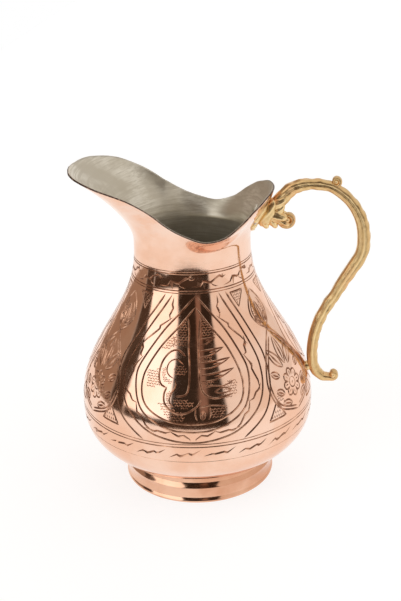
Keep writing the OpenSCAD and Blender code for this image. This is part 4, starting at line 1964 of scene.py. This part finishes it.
@dataclass
class Rivets:
    """The three rivets that hold the handle: two through the lip, one through the belly."""

    form: JugForm
    shank_r: float = 0.0015
    head_r: float = 0.003
    head_h: float = 0.0014
    plate_t: float = 0.0024
    turn: float = 18.0
    lip_t: float = 0.4375
    joint_z: float = 0.080
    seat: float = 0.00025
    dome: tuple = ((0.0, 1.0), (0.34, 0.95), (0.62, 0.78), (0.85, 0.5), (0.97, 0.2))

    def shape(self, name: str, length: float) -> bpy.types.Object:
        """One rivet on the z axis: its domed head inside, its shank reaching out.

        Args:
            name: The rivet's name.
            length: How far the shank reaches beyond the copper's outside.

        Returns:
            The rivet.
        """
        face = -(self.form.sheet_t + self.form.tin_t + self.seat)
        dome = [(out * self.head_r, face - up * self.head_h) for out, up in self.dome]
        shank = [(self.head_r, face - 0.00002), (self.shank_r, face), (self.shank_r, length - 0.0002),
                 (0.8 * self.shank_r, length), (0, length)]
        return turned_piece(name, dome + shank, 32)

    def place(self, rivet: bpy.types.Object, spot: np.ndarray, away: np.ndarray, turn: float) -> None:
        """Moves a rivet's mesh to its hole.

        Args:
            rivet: The rivet, along z.
            spot: Radius and height of the hole on the copper's outside.
            away: The outward direction there, as radius and height.
            turn: The hole's angle round the jug, in degrees.
        """
        tilt = Matrix.Rotation(math.atan2(away[0], away[1]), 4, "Y")
        spin = Matrix.Rotation(math.radians(turn), 4, "Z")
        rivet.data.transform(spin @ Matrix.Translation((spot[0], 0, spot[1])) @ tilt)

    def build(self) -> list[bpy.types.Object]:
        """Builds and dresses the rivets.

        Returns:
            The pair in the lip and the one in the belly.
        """
        tin = WipedTin().material()
        pair = []
        for side in (-1, 1):
            rivet = self.shape("rivet_lip", self.plate_t * 0.5)
            turn = np.array(side * self.turn)
            low = np.array(self.form.lip(turn, np.array(self.lip_t - 0.02)))
            high = np.array(self.form.lip(turn, np.array(self.lip_t + 0.02)))
            ahead = unit(high - low)
            self.place(rivet, (low + high) / 2, np.array([ahead[1], -ahead[0]]), side * self.turn)
            pair.append(rivet)
        upper = joined("rivets_lip", pair)
        upper.data.materials.append(tin)
        lower = self.shape("rivet_belly", 0.0046)
        z = np.array(self.joint_z)
        spot = np.array([float(self.form.radius(z)), self.joint_z])
        self.place(lower, spot, unit(np.array([1.0, -float(self.form.slope(z))])), 0.0)
        lower.data.materials.append(tin)
        return [finish_piece(upper, Slot.TIN, "upper_rivets"),
                finish_piece(lower, Slot.TIN, "lower_rivet")]


# ---------------------------------------------------------------------- studio


@dataclass
class Studio:
    """A pale table, a white room with one dark opening in front, and the camera."""

    floor_far: float = 7.0
    floor_left: float = -0.62
    floor_front: float = -0.62
    camera_at: tuple = (0.07506, -0.67368, 0.41215)
    target: tuple = (0.00421, 0.00044, 0.12793)
    roll: float = -0.033
    lens: float = 64.56

    def floor(self) -> None:
        """Lays the pale table."""
        bpy.ops.object.select_all(action="DESELECT")
        far = self.floor_far
        bpy.ops.mesh.primitive_plane_add(
            size=2, location=((far + self.floor_left) / 2, (far + self.floor_front) / 2, 0))
        table = bpy.context.object
        table.name = "floor"
        table.scale = ((far - self.floor_left) / 2, (far - self.floor_front) / 2, 1)
        bpy.ops.object.transform_apply(location=True, rotation=True, scale=True)
        table.data.materials.append(PaleFloor().material())

    def room(self) -> None:
        """Lights the room: soft boxes and white walls, with a dark opening in front of the jug."""
        world = bpy.data.worlds.new("white_room")
        bpy.context.scene.world = world
        bench = Bench(world)
        way = bench.wire("ShaderNodeTexCoord", None, None, "Generated")
        x, y, z = bench.parts(way)
        degrees = 180 / math.pi
        turn = bench.wire("ShaderNodeMath", {"operation": "ARCTAN2"}, {0: x, 1: y * -1.0})
        turn = turn * degrees - 6.0
        rise = bench.wire("ShaderNodeMath", {"operation": "ARCSINE"}, {0: z}) * degrees
        glow = bench.blend(turn.step(70.0, 160.0), solid(0.90, 0.86, 0.82), solid(0.80, 0.77, 0.74))
        brown_from = (-172.0, -158.0)
        gap_from = (-97.0, -93.0)
        box_from = (-78.0, -74.0)
        dark_from = (-29.0, -26.0)
        opening = turn.between(dark_from, (27.0, 30.0)) * (1.0 - rise.step(48.0, 56.0))
        below = turn.between(box_from, (12.0, 20.0)) * (1.0 - rise.step(0.0, 3.0))
        figure = turn.between((1.0, 3.0), (9.0, 12.0)) * rise.between((6.0, 14.0), (34.0, 44.0))
        patches = ((turn.between(brown_from, gap_from), (0.36, 0.265, 0.20)),
                   (turn.between(gap_from, box_from), (0.075, 0.05, 0.035)),
                   (turn.between(box_from, dark_from), (1.5, 1.48, 1.46)),
                   (opening, (0.034, 0.023, 0.016)),
                   (below, (0.06, 0.038, 0.026)),
                   (figure, (0.27, 0.17, 0.13)),
                   (rise.step(56.0, 70.0), (0.95, 0.93, 0.9)))
        for share, colour in patches:
            glow = bench.blend(share, glow, solid(*colour))
        seen = bench.wire("ShaderNodeLightPath", None, None, "Is Camera Ray")
        backdrop = bench.blend(seen, glow, solid(1.0, 1.0, 1.0))
        sky = bench.node("ShaderNodeBackground", None, {"Color": backdrop})
        bench.end("ShaderNodeOutputWorld", sky)

    def camera(self) -> None:
        """Sets the camera a little to the right and above."""
        data = bpy.data.cameras.new("camera")
        data.lens = self.lens
        data.sensor_width = 36.0
        data.clip_start = 0.01
        view = bpy.data.objects.new("camera", data)
        bpy.context.scene.collection.objects.link(view)
        ahead = Vector(self.target) - Vector(self.camera_at)
        turned = ahead.to_track_quat("-Z", "Y").to_matrix().to_4x4()
        turned = turned @ Matrix.Rotation(self.roll, 4, "Z")
        view.matrix_world = Matrix.Translation(self.camera_at) @ turned
        bpy.context.scene.camera = view

    def build(self) -> None:
        """Builds the studio."""
        self.floor()
        self.room()
        self.camera()
        bpy.context.scene.view_settings.view_transform = "Standard"


def main() -> None:
    """Builds the jug piece by piece."""
    logging.basicConfig(level=logging.INFO, format="%(name)s %(message)s")
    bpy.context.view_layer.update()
    form = JugForm()
    form.read_frame()
    CopperShell(form).build()
    TinLining(form).build()
    foot = Foot(form)
    foot.build_ring()
    foot.build_solder()
    Handle(form).build()
    Rivets(form).build()
    Studio().build()


if __name__ == "__main__":
    main()
